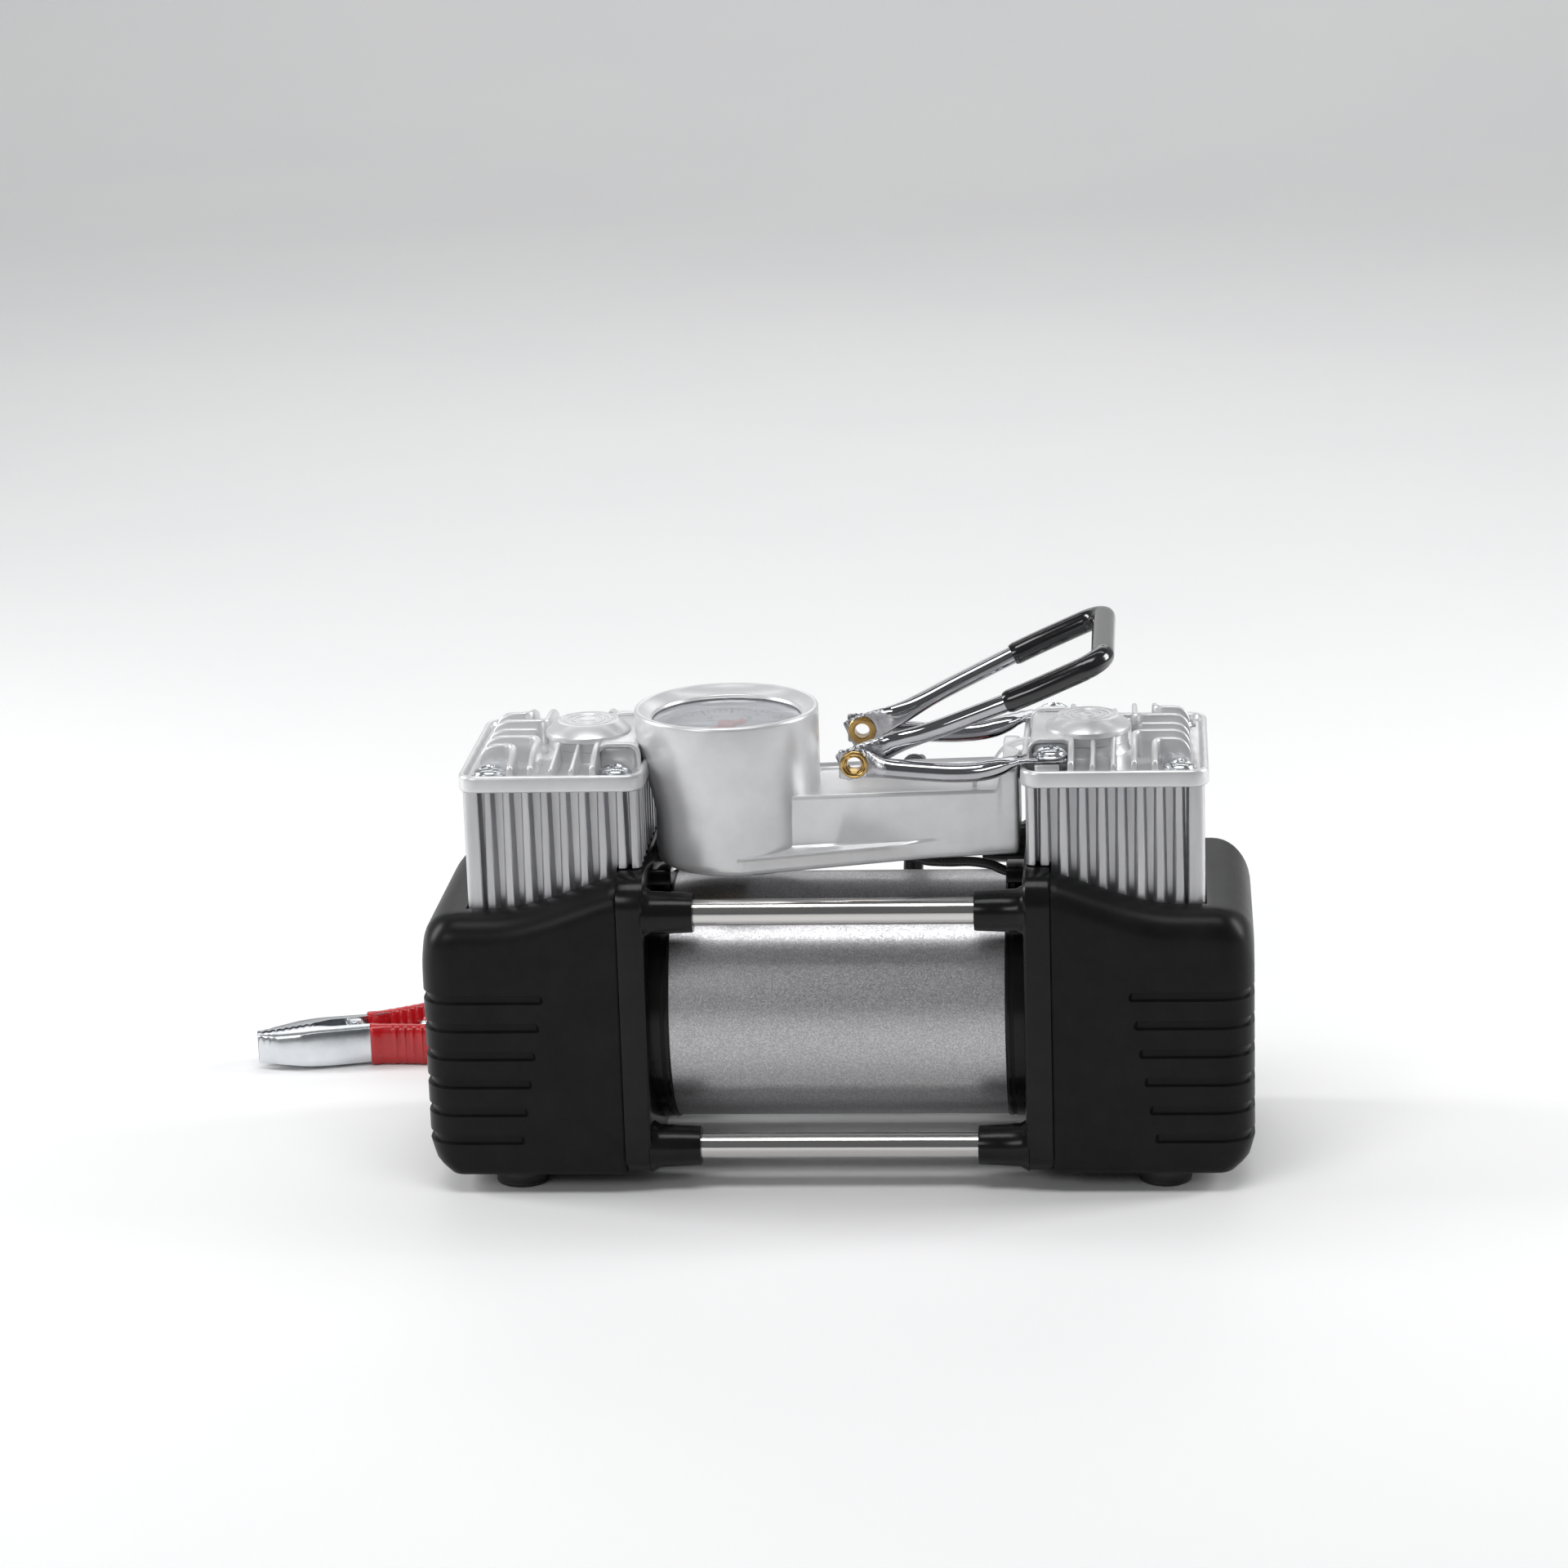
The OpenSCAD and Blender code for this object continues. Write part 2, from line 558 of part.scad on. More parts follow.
module gauge_housing() color([0.76, 0.76, 0.78]) from_shaft() difference() {
    union() {
        gauge_body();
        along_y(arm_y[0], arm_y[1]) arm_side();
        translate([0, 0, 46]) rotate([0, -2.9, 0])
            linear_extrude(6.2) polygon([[-24, -21], [-24, -26.4], [28, -22], [28, -21]]);
    }
    // clearance over the left head and for its air spigot
    translate([-70, -40, 40]) cube([70 - 55.7, 80, 39.7]);
    rod_x(nipple_r + 0.05, -60, -50, gauge_y, nipple_z);
    // landing for the right head's air elbow
    rod_x(elbow_r + 0.1, head_x - elbow_u, 60, elbow_y, elbow_z);
    translate([head_x - elbow_u, elbow_y, elbow_foot]) cylinder(r = elbow_r, h = 20);
    // gauge well, dished rim and the chamber under it, open downwards
    translate([gauge_x, gauge_y, 82]) cylinder(r = 24.2, h = 7.1);
    translate([gauge_x, gauge_y, 80]) cylinder(r = 22.4, h = 20);
    translate([gauge_x, gauge_y, 89.9]) cylinder(r1 = 22.4, r2 = 26.6, h = 2.81);
    translate([low_x - 0.6, gauge_y, 40]) cylinder(r = 21.5, h = 42.1);
    // wiring space in the arm, open into the chamber
    translate([-12, arm_y[0] + 2.5, 52]) cube([64, arm_y[1] - arm_y[0] - 5, 13]);
    // openings in the back wall, and one in the floor for the motor lead
    rod_y(4.2, 10, 20, outlet_at[0], outlet_at[2]);
    rod_y(4.1, 10, 20, gland_at[0], gland_at[2]);
    translate([switch_at[0] - 9.6, -10, switch_at[2] - 6.4]) cube([19.2, 30, 12.8]);
    translate([20, -8, 40]) cylinder(r = 2.2, h = 20);
}

module gauge_lens() color([0.85, 0.9, 0.95, 0.4]) from_shaft()
    translate([gauge_x, gauge_y, 87.3]) cylinder(r = 24.1, h = 1.8);

module gauge_dial() color([0.92, 0.92, 0.9]) from_shaft() difference() {
    translate([gauge_x, gauge_y, 83.4]) cylinder(r = 24.1, h = 0.8);
    translate([gauge_x, gauge_y, 83]) cylinder(r = 1.4, h = 2);
}

// The needle points along its rest direction, at the start of the scale
needle_rest = 225;

module gauge_needle() color([0.8, 0.1, 0.08]) from_shaft() translate([gauge_x, gauge_y, 0]) {
    translate([0, 0, 84.6]) cylinder(r = 2.6, h = 1.6);
    translate([0, 0, 82]) cylinder(r = 1, h = 3);
    rotate([0, 0, needle_rest]) translate([0, 0, 85]) linear_extrude(0.7)
        polygon([[-7, -1.1], [-7, 1.1], [16, 0.5], [19, 0], [16, -0.5]]);
}

module gauge_movement() color([0.7, 0.58, 0.3]) from_shaft() translate([gauge_x, gauge_y, 0]) difference() {
    union() {
        translate([0, 0, 72]) cylinder(r = 17, h = 11.4);
        translate([0, 0, 58]) cylinder(r = 5, h = 15);
    }
    translate([0, 0, 76]) cylinder(r = 1.3, h = 10);
    translate([0, 0, 50]) cylinder(r = 1.5, h = 20);
}

// ---------- outlet, switch, gland, motor lead ----------

module outlet_fitting() color([0.8, 0.62, 0.28]) from_shaft()
    translate([outlet_at[0], 0, outlet_at[2]]) difference() {
    union() {
        rotate([-90, 0, 0]) translate([0, 0, 16]) cylinder(r = 6.9, h = 5, $fn = 6);
        rod_y(4.85, 20.9, 31);
        rod_y(4.1, 11, 17);
    }
    rod_y(2.4, 10, 32);
}

module switch_body() color([0.06, 0.06, 0.06]) from_shaft()
    translate([switch_at[0], 0, switch_at[2]]) difference() {
    union() {
        translate([-10.5, 16, -7.5]) cube([21, 2, 15]);
        translate([-9.4, -1, -6.2]) cube([18.8, 17.1, 12.4]);
        for (x = [-5, 5]) translate([x - 2.4, -8, -0.4]) cube([4.8, 7.1, 0.8]);
    }
    translate([-8.6, 11.5, -5.4]) cube([17.2, 8, 10.8]);
    translate([0, rocker_y, -6.05]) cylinder(r = 1.05, h = 12.1);
}

rocker_tilt = 10;
rocker_y = 16.1;

module switch_rocker() color([0.75, 0.05, 0.04]) from_shaft()
    translate([switch_at[0], rocker_y, switch_at[2]]) rotate([0, 0, rocker_tilt]) {
        translate([0, 0, -4.9]) linear_extrude(9.8)
            polygon([[-7.6, -0.7], [-7.6, 3.1], [0, 2], [7.6, 3.1], [7.6, -0.7], [0, -2.5]]);
        translate([0, 0, -6]) cylinder(r = 1, h = 12);
    }

module cord_gland() color([0.05, 0.05, 0.05]) from_shaft()
    translate([gland_at[0], 0, gland_at[2]]) difference() {
    union() {
        rod_y(4, 12, 17);
        rod_y(6.2, 16, 19);
        translate([0, 19, 0]) rotate([-90, 0, 0]) cylinder(r1 = 5, r2 = 3.9, h = 21);
    }
    rod_y(3.25, 11, 41);
}

motor_lead_path = [[20, -8, 54], [20, -8, 50], [21.5, -8, 46.5], [26, -8.4, 44.6], [33, -9, 44.2],
    [40, -9.5, 44.4], [46, -10, 43.6], [49.5, -10, 42], [52, -10, 41.4], [54.8, -10, 41.4]];

module motor_lead() color([0.04, 0.04, 0.04]) from_shaft() tube(motor_lead_path, 1.5, 8);

// ---------- carry handle ----------

// Across the depth: the bail's flat eye from and to, then the link's
eye_y = [18, 19.4, 20.4, 21.8];
eye_r = 4.6;
rivet_y = [17.2, 22.5];
link_path = [[11.6, 22.6, 78], [15, 22.6, 77.6], [21, 22.4, 77], [28, 22.5, 76.4], [35, 23, 76.1],
    [42, 23.7, 76.4], [48, 24.4, 77.4], [52, 24.8, 78.5], [54.6, 25, 79.3]];

module link(side) mirror([0, side < 0 ? 1 : 0, 0]) difference() {
    union() {
        tube(link_path, link_d / 2, 12);
        rod_y(eye_r, eye_y[2], eye_y[3], hinge_x, hinge_z);
        translate([hinge_x, eye_y[2], hinge_z - eye_r]) cube([7, eye_y[3] - eye_y[2], 2 * eye_r - 1]);
        translate([52, screw_y - 4.3, blade_z]) cube([18, 8.6, blade_t]);
    }
    rod_y(2.6, 15, 30, hinge_x, hinge_z);
    translate([head_x - screw_u[0], screw_y, 70]) cylinder(r = 2.1, h = 20);
}

module link_front() color([0.8, 0.8, 0.82]) from_shaft() link(-1);
module link_rear() color([0.8, 0.8, 0.82]) from_shaft() link(1);

module hinge_rivets() color([0.85, 0.65, 0.3]) from_shaft() for (s = [0, 1]) mirror([0, s, 0]) difference() {
    union() {
        rod_y(2.6, rivet_y[0], rivet_y[1], hinge_x, hinge_z);
        rod_y(4.25, eye_y[3], rivet_y[1], hinge_x, hinge_z);
        rod_y(4.25, rivet_y[0], eye_y[0] - 0.3, hinge_x, hinge_z);
    }
    rod_y(1.9, 16, 24, hinge_x, hinge_z);
}

// One arm of the bail, from the hinge outwards, then round the corner to the middle of the end bar
bail_side = 30;
bail_arm = [[7.4, 17.2], [11, 16.8], [16, 18.4], [22, 21.4], [34, 25], [45, 27.6], [50, 28.6], [58, 29.7],
    [66, bail_side], [73, bail_side]];
bail_end = 81.5;
bail_corner = 7.5;
bail_half = concat(bail_arm,
    [for (a = [15:15:90]) [bail_end - bail_corner * (1 - sin(a)), bail_side - bail_corner * (1 - cos(a))]],
    [[bail_end, 10]]);
bail_flat = concat([for (q = bail_half) [q[0], -q[1], 0]],
    [for (i = [len(bail_half) - 1:-1:0]) [bail_half[i][0], bail_half[i][1], 0]]);
grip_flat = [for (q = bail_flat) if (q[0] > 48) q];

module bail_frame() translate([hinge_x, 0, hinge_z]) rotate([0, -bail_angle, 0]) children();

module handle_bail() color([0.8, 0.8, 0.82]) from_shaft() bail_frame() difference() {
    union() {
        tube(bail_flat, bail_d / 2, 12);
        for (s = [0, 1]) mirror([0, s, 0]) {
            rod_y(eye_r, eye_y[0], eye_y[1], 0, 0);
            translate([0, eye_y[0], -eye_r + 0.8]) cube([11, eye_y[1] - eye_y[0], 2 * eye_r - 1.6]);
        }
    }
    rod_y(2.65, -30, 30);
}

module handle_grip() color([0.03, 0.03, 0.03]) from_shaft() bail_frame() difference() {
    tube(grip_flat, grip_d / 2, 12);
    tube(bail_flat, bail_d / 2 + 0.05, 12);
}

// ---------- power lead, on the surface behind the unit ----------

coil_at = [-40, 144];
coil_h = 12.8;
coil_w = 19.8;
cord_drop = [[21, 40, 111], [21, 48, 110.6], [20.5, 57, 108], [20, 65, 102], [19.5, 70.5, 92], [18.5, 73.5, 78],
    [17.5, 75, 61], [16.5, 76, 44], [15, 77.5, 28], [11.5, 80.5, 15], [6, 85, 7], [-2, 90, 3.6],
    [-12, 94, 3.2], [-23, 96.4, 3.2], [-32, 97.2, 3.2]];
cord_tail = [[-48, 97.4, 9.4], [-58, 97.2, 8.2], [-68, 96, 5.8], [-78, 94.4, 3.8], [-88, 92.8, 3.2],
    [-97, 92, 3.2]];
red_path = [[-97, 93.6, 1.7], [-104, 95, 1.8], [-111, 98.4, 2.4], [-117.5, 101.6, 3.8], [-124, 102.8, 5.4],
    [-131, 101.5, 6.6], [-138, 99.7, 7]];
black_path = [[-97, 90.4, 1.7], [-104, 90.6, 1.8], [-111.5, 88.4, 2.2], [-117, 83, 3], [-119, 76, 4],
    [-117, 69.2, 5.2], [-111.8, 64, 6.3], [-105, 61.8, 7], [-97.5, 60.9, 7]];

module power_cord() color([0.03, 0.03, 0.03]) {
    tube(cord_drop, lead_w / 2, 8);
    tube(cord_tail, lead_w / 2, 8);
}

module cord_coil() color([0.03, 0.03, 0.03]) translate([coil_at[0], coil_at[1], 0]) rotate_extrude($fn = 64)
    translate([coil_r - coil_w / 2, 0]) square([coil_w, coil_h]);

module red_lead() color([0.7, 0.04, 0.04]) tube(red_path, tail_d / 2, 8);
module black_lead() color([0.03, 0.03, 0.03]) tube(black_path, tail_d / 2, 8);

// A battery clip lies on its side: x from its tail to its nose, its pin upright
clip_t = 14;
clip_pin = [38, 0];
lug_r = 3;
red_clip_at = [-132, 92];
red_clip_turn = 194;
black_clip_at = [-103, 70];
black_clip_turn = -3;

module clip_outline() polygon([[0, 10.5], [0, 13.5], [5, 15], [12, 14.2], [24, 10.4], [34, 8.2], [46, 8.4],
    [56, 8], [64, 6], [70, 2.6], [70, 0.2], [50, 0.2], [46, 3.4], [34, 3.7], [24, 6], [12, 10.2], [5, 11.2]]);

module clip_half(sy, lugs) mirror([0, sy < 0 ? 1 : 0, 0]) difference() {
    union() {
        linear_extrude(clip_t) clip_outline();
        for (z = lugs) translate([clip_pin[0], 0, z]) {
            cylinder(r = lug_r, h = 1.8);
            translate([-lug_r, 0, 0]) cube([2 * lug_r, 4.5, 1.8]);
        }
    }
    translate([clip_pin[0], 0, -1]) cylinder(r = 1.65, h = clip_t + 2);
}

module place_clip(p, turn) translate([p[0], p[1], 0]) rotate([0, 0, turn]) children();

fixed_lugs = [1.2, 11];
moving_lugs = [3.4, 8.8];

module red_clip_fixed_jaw() color([0.75, 0.03, 0.03])
    place_clip(red_clip_at, red_clip_turn) clip_half(-1, fixed_lugs);
module red_clip_moving_jaw() color([0.75, 0.03, 0.03])
    place_clip(red_clip_at, red_clip_turn) clip_half(1, moving_lugs);
module black_clip_fixed_jaw() color([0.04, 0.04, 0.04])
    place_clip(black_clip_at, black_clip_turn) clip_half(-1, fixed_lugs);
module black_clip_moving_jaw() color([0.04, 0.04, 0.04])
    place_clip(black_clip_at, black_clip_turn) clip_half(1, moving_lugs);

module clip_spring() translate([clip_pin[0], 0, 0]) {
    translate([0, 0, 0.8]) cylinder(r = 1.6, h = 12.4);
    translate([0, 0, 5.6]) cylinder(r = 2.9, h = 2.8);
}

module clip_springs() color([0.7, 0.71, 0.73]) {
    place_clip(red_clip_at, red_clip_turn) clip_spring();
    place_clip(black_clip_at, black_clip_turn) clip_spring();
}

motor_shell();
motor_cap_left();
motor_cap_right();
stator_magnets();
carbon_brushes();
shaft_bearings();
motor_shaft();
armature_core();
armature_windings();
commutator();
crankcase_plate_left();
crankcase_plate_right();
end_cover_left();
end_cover_right();
tie_rods();
rubber_feet();
foot_screws();
cover_screws();
crank_disc_left();
crank_disc_right();
con_rod_left();
con_rod_right();
crank_bearing_left();
crank_bearing_right();
piston_cup_left();
piston_cup_right();
cylinder_left();
cylinder_right();
valve_plate_left();
valve_plate_right();
reed_valves();
cylinder_head_left();
cylinder_head_right();
valve_cap_left();
valve_cap_right();
head_screws();
gauge_housing();
gauge_lens();
gauge_dial();
gauge_needle();
gauge_movement();
outlet_fitting();
switch_body();
switch_rocker();
cord_gland();
motor_lead();
link_front();
link_rear();
hinge_rivets();
handle_bail();
handle_grip();
power_cord();
cord_coil();
red_lead();
black_lead();
red_clip_fixed_jaw();
red_clip_moving_jaw();
black_clip_fixed_jaw();
black_clip_moving_jaw();
clip_springs();
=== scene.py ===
import json
from math import atan2, copysign, cos, hypot, pi, radians, sin, sqrt

import bpy
import bmesh
from mathutils import Matrix, Vector


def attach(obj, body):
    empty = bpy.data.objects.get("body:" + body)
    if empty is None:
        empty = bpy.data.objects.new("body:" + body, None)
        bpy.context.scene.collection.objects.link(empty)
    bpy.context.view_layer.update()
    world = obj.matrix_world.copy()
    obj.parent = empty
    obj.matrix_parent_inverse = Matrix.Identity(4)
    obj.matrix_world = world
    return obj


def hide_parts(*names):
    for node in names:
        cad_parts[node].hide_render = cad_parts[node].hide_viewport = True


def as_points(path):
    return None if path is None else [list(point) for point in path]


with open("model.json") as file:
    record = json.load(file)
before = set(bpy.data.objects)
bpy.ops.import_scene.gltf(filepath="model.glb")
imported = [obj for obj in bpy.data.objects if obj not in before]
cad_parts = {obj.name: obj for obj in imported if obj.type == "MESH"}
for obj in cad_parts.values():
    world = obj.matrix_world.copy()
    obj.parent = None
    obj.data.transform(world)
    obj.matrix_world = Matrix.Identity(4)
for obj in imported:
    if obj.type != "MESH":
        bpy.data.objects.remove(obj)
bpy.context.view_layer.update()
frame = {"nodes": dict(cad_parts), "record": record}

# Shapes below are in millimetres, with z counted from the motor shaft; MM and AXIS_Z bring them into the frame.
MM = 0.001
AXIS_Z = 50
SIDES = (("left", -1), ("right", 1))


def new_object(name, data):
    obj = bpy.data.objects.new(name, data)
    bpy.context.scene.collection.objects.link(obj)
    return obj


# ---------- camera ----------


def make_camera():
    """Slightly above the object and almost square to its front, through a long lens."""
    right = Vector((0.9965, 0.0776, -0.0310))
    up = Vector((0.0089, 0.2704, 0.9627))
    forward = Vector((-0.0831, 0.9596, -0.2688))
    data = bpy.data.cameras.new("camera")
    data.lens = 105
    data.sensor_width = 36
    data.clip_start = 0.05
    cam = new_object("camera", data)
    axes = Matrix((right, up, -forward)).transposed().to_4x4()
    cam.matrix_world = Matrix.Translation((0.099, -1.336, 0.4908)) @ axes
    bpy.context.scene.camera = cam


make_camera()

# ---------- materials ----------


class Nodes:
    """A small helper that adds nodes to a material and links them."""

    def __init__(self, name, values=()):
        self.mat = bpy.data.materials.new(name)
        self.mat.use_nodes = True
        self.tree = self.mat.node_tree
        self.shader = self.tree.nodes["Principled BSDF"]
        self.coords = self.add("TexCoord").outputs["Object"]
        self.feed(values)

    def feed(self, values, node=None):
        """Gives inputs of a node, or else of the shader, a number, a colour or another node's output."""
        inputs = (node or self.shader).inputs
        for key, value in dict(values).items():
            if isinstance(value, bpy.types.NodeSocket):
                self.tree.links.new(value, inputs[key])
            else:
                inputs[key].default_value = value

    def add(self, kind, values=(), **settings):
        node = self.tree.nodes.new("ShaderNode" + kind)
        for key, value in settings.items():
            setattr(node, key, value)
        self.feed(values, node)
        return node

    def noise(self, scale, detail=2, rough=0.5, stretch=None):
        """Noise over the object; scale counts features to the metre."""
        coords = self.coords
        if stretch:
            coords = self.add("Mapping", {"Vector": coords, "Scale": stretch}).outputs["Vector"]
        values = {"Vector": coords, "Scale": scale, "Detail": detail, "Roughness": rough}
        return self.add("TexNoise", values).outputs["Fac"]

    def span(self, value, low, high, start=0, end=1):
        """Maps value from start..end to low..high."""
        values = {"Value": value, "From Min": start, "From Max": end, "To Min": low, "To Max": high}
        return self.add("MapRange", values).outputs["Result"]

    def mix(self, factor, one, two):
        """Colour one where factor is 0, colour two where it is 1. The numbers are the sockets for colours."""
        return self.add("Mix", {0: factor, 6: (*one, 1), 7: (*two, 1)}, data_type="RGBA").outputs[2]

    def bump(self, height, strength, depth):
        """Adds a bump of the given depth in millimetres, on top of any bump made before."""
        values = {"Height": height, "Strength": strength, "Distance": depth * MM}
        for link in self.shader.inputs["Normal"].links:
            values["Normal"] = link.from_socket
        self.feed({"Normal": self.add("Bump", values).outputs["Normal"]})


def surface(name, colour, shade, metallic, rough, relief=(), stretch=None, coat=0, spread=0.06, specular=0.5):
    """A surface with patchy colour and gloss. relief: fine grain to the metre, its depth in millimetres, then
    slow waves to the metre and their depth."""
    grain, grain_depth, waves, wave_depth = (*relief, *(0, 0.02, 0, 0.05)[len(relief):])
    n = Nodes(name, {"Metallic": metallic, "Coat Weight": coat, "Coat Roughness": 0.08,
                     "Specular IOR Level": specular})
    patches = n.noise(90, 4, 0.6, stretch)
    fine = n.noise(grain or 900, 3, 0.65, stretch)
    blend = n.add("Math", {0: fine, 1: 0.6, 2: n.span(patches, 0, 0.4)}, operation="MULTIPLY_ADD").outputs[0]
    n.feed({"Base Color": n.mix(n.span(patches, 0, 1, 0.35, 0.65), colour, shade),
            "Roughness": n.span(blend, rough - spread, rough + spread, 0.3, 0.7)})
    if waves:
        n.bump(n.noise(waves, 2, 0.5), 0.5, wave_depth)
    if grain:
        n.bump(fine, 0.6, grain_depth)
    return n.mat


def sparkle_paint(name):
    """Metallic silver paint with coarse flakes that catch the light one by one."""
    n = Nodes(name, {"Metallic": 0.9, "Coat Weight": 0.25, "Coat Roughness": 0.12})
    flakes = n.add("TexVoronoi", {"Vector": n.coords, "Scale": 3400}).outputs["Color"]
    tone = n.add("SeparateColor", {"Color": flakes}).outputs
    n.feed({"Base Color": n.mix(n.span(tone[0], 0, 1, 0.25, 1), (0.38, 0.375, 0.385), (0.6, 0.6, 0.62)),
            "Roughness": n.span(tone[1], 0.3, 0.5)})
    n.bump(tone[2], 0.3, 0.018)
    n.bump(n.noise(700, 3, 0.6), 0.25, 0.015)
    return n.mat


def clear_glass(name):
    n = Nodes(name, {"Base Color": (0.95, 0.97, 1, 1), "Transmission Weight": 0.92, "IOR": 1.49})
    n.feed({"Roughness": n.span(n.noise(160, 4, 0.7), 0.02, 0.09, 0.4, 0.7)})
    n.bump(n.noise(60, 2, 0.5, (1, 3, 1)), 0.25, 0.25)
    return n.mat


def hammered_chrome(name):
    """Bright chrome over tube that was pressed flat, so its skin is dimpled and creased."""
    n = Nodes(name, {"Metallic": 1, "Base Color": (0.5, 0.5, 0.52, 1)})
    n.feed({"Roughness": n.span(n.noise(600, 4, 0.7), 0.06, 0.32)})
    n.bump(n.noise(1100, 4, 0.7), 0.8, 0.16)
    return n.mat


# Each row: colour, colour of its patches, metallic, roughness, relief, then what differs from surface's defaults
SURFACES = {
    "bright_casting": ((0.72, 0.722, 0.73), (0.66, 0.662, 0.672), 0.48, 0.34, (1800, 0.006, 90, 0.03),
                       {"coat": 0.25, "spread": 0.03}),
    "raw_aluminium": ((0.62, 0.62, 0.63), (0.5, 0.5, 0.52), 0.85, 0.36, (900, 0.03), {"stretch": (1, 1, 0.12)}),
    "black_casting": ((0.007, 0.007, 0.0075), (0.0105, 0.0105, 0.011), 0, 0.34, (2600, 0.025, 60, 0.04),
                      {"specular": 0.12}),
    "black_gloss": ((0.006, 0.006, 0.0065), (0.009, 0.009, 0.0095), 0, 0.2, (1200, 0.01, 120, 0.06),
                    {"specular": 0.2}),
    "polished_steel": ((0.66, 0.65, 0.63), (0.6, 0.59, 0.57), 1, 0.13, (700, 0.006), {"stretch": (0.04, 1, 1)}),
    "chrome": ((0.46, 0.46, 0.48), (0.4, 0.4, 0.42), 1, 0.07, (500, 0.006, 120, 0.04), {"spread": 0.03}),
    "zinc": ((0.74, 0.76, 0.78), (0.64, 0.67, 0.7), 1, 0.22, (1500, 0.015), {}),
    "brass": ((0.62, 0.42, 0.16), (0.46, 0.3, 0.11), 1, 0.2, (900, 0.012), {}),
    "copper": ((0.62, 0.26, 0.1), (0.45, 0.16, 0.06), 1, 0.3, (1400, 0.05), {}),
    "core_steel": ((0.3, 0.3, 0.31), (0.2, 0.19, 0.19), 0.9, 0.42, (800, 0.03), {"stretch": (4, 1, 1)}),
    "ferrite": ((0.06, 0.06, 0.065), (0.09, 0.09, 0.095), 0.1, 0.55, (900,), {}),
    "black_plastic": ((0.007, 0.007, 0.008), (0.011, 0.011, 0.012), 0, 0.36, (1800, 0.02), {"specular": 0.3}),
    "red_plastic": ((0.5, 0.008, 0.012), (0.4, 0.006, 0.01), 0, 0.24, (700, 0.012, 90, 0.08), {"coat": 0.25}),
    "grip": ((0.006, 0.006, 0.007), (0.011, 0.011, 0.012), 0, 0.14, (900, 0.008, 110, 0.12), {"coat": 0.4}),
    "rubber": ((0.016, 0.016, 0.016), (0.026, 0.025, 0.025), 0, 0.62, (1500,), {}),
    "cable_black": ((0.012, 0.012, 0.013), (0.018, 0.018, 0.019), 0, 0.3, (1000, 0.01, 80, 0.08), {}),
    "cable_red": ((0.45, 0.01, 0.01), (0.36, 0.008, 0.01), 0, 0.32, (1000, 0.01), {}),
    "seal": ((0.1, 0.09, 0.08), (0.14, 0.13, 0.12), 0, 0.5, (900,), {}),
    "dial_white": ((0.6, 0.61, 0.63), (0.54, 0.55, 0.57), 0, 0.5, (1200, 0.005), {}),
    "dial_print": ((0.015, 0.015, 0.016), (0.02, 0.02, 0.02), 0, 0.5, (), {}),
    "needle_red": ((0.55, 0.02, 0.012), (0.5, 0.018, 0.01), 0, 0.35, (), {}),
}
MATERIAL = {name: surface(name, *row, **extra) for name, (*row, extra) in SURFACES.items()}
for special, make in (("silver_paint", sparkle_paint), ("crinkled_chrome", hammered_chrome), ("lens", clear_glass)):
    MATERIAL[special] = make(special)

for node_row in frame["record"]["subparts"]:
    materials = frame["nodes"][node_row["node"]].data.materials
    materials.clear()
    materials.append(MATERIAL[node_row["material_slot"]])

# ---------- shapes ----------


def in_metres(points, side=1):
    """Points in the frame's metres; side -1 mirrors them to the left-hand end."""
    return [(side * x * MM, y * MM, (z + AXIS_Z) * MM) for x, y, z in points]


def shade(mesh, sharp):
    mesh.shade_smooth()
    mesh.set_sharp_from_angle(angle=radians(sharp))


class Build:
    """Collects closed shells, in millimetres with z from the shaft, and makes one object of them."""

    def __init__(self, shell=((), ()), place=None):
        self.points = []
        self.faces = []
        self.add(shell, place)

    def add(self, shell, place=None):
        points, faces = shell
        base = len(self.points)
        if place is not None:
            points = [place @ Vector(p) for p in points]
        self.points += [tuple(p) for p in points]
        self.faces += [tuple(base + i for i in face) for face in faces]
        return self

    def make(self, name, slot, replaces=None, body="unit", material=None, sharp=32, side=1):
        """replaces holds the names of the CAD nodes, with spaces between; side is as in in_metres."""
        mesh = bpy.data.meshes.new(name)
        mesh.from_pydata(in_metres(self.points, side), [], self.faces)
        bm = bmesh.new()
        bm.from_mesh(mesh)
        bmesh.ops.remove_doubles(bm, verts=bm.verts, dist=1e-7)
        bmesh.ops.recalc_face_normals(bm, faces=bm.faces)
        bm.to_mesh(mesh)
        bm.free()
        mesh.validate()
        shade(mesh, sharp)
        obj = new_object(name, mesh)
        mesh.materials.append(MATERIAL[material or slot])
        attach(obj, body)
        if replaces:
            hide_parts(*replaces.split())
        return obj


def both_ends(shape_of, name, slot, node=None, **look):
    """Makes a piece for the left and for the right end; % in the names stands for the end."""
    for end, side in SIDES:
        shape_of(side).make(name.replace("%", end), slot, node and node.replace("%", end), side=side, **look)


def smoothstep(a, b, x):
    t = min(max((x - a) / (b - a), 0), 1)
    return t * t * (3 - 2 * t)


def shoulder(s, r):
    """Drop of a rounded end at distance s from it."""
    return r * (1 - sqrt(max(0, 1 - (1 - min(s, r) / r) ** 2)))


def shift(at):
    return Matrix.Translation(at)


def along(axis, at=(0, 0, 0)):
    """Places a lathe's Z axis along X, Y or -Y."""
    turns = {"+X": Matrix.Rotation(pi / 2, 4, "Y"), "+Y": Matrix.Rotation(-pi / 2, 4, "X"),
             "-Y": Matrix.Rotation(pi / 2, 4, "X")}
    return shift(at) @ turns[axis]


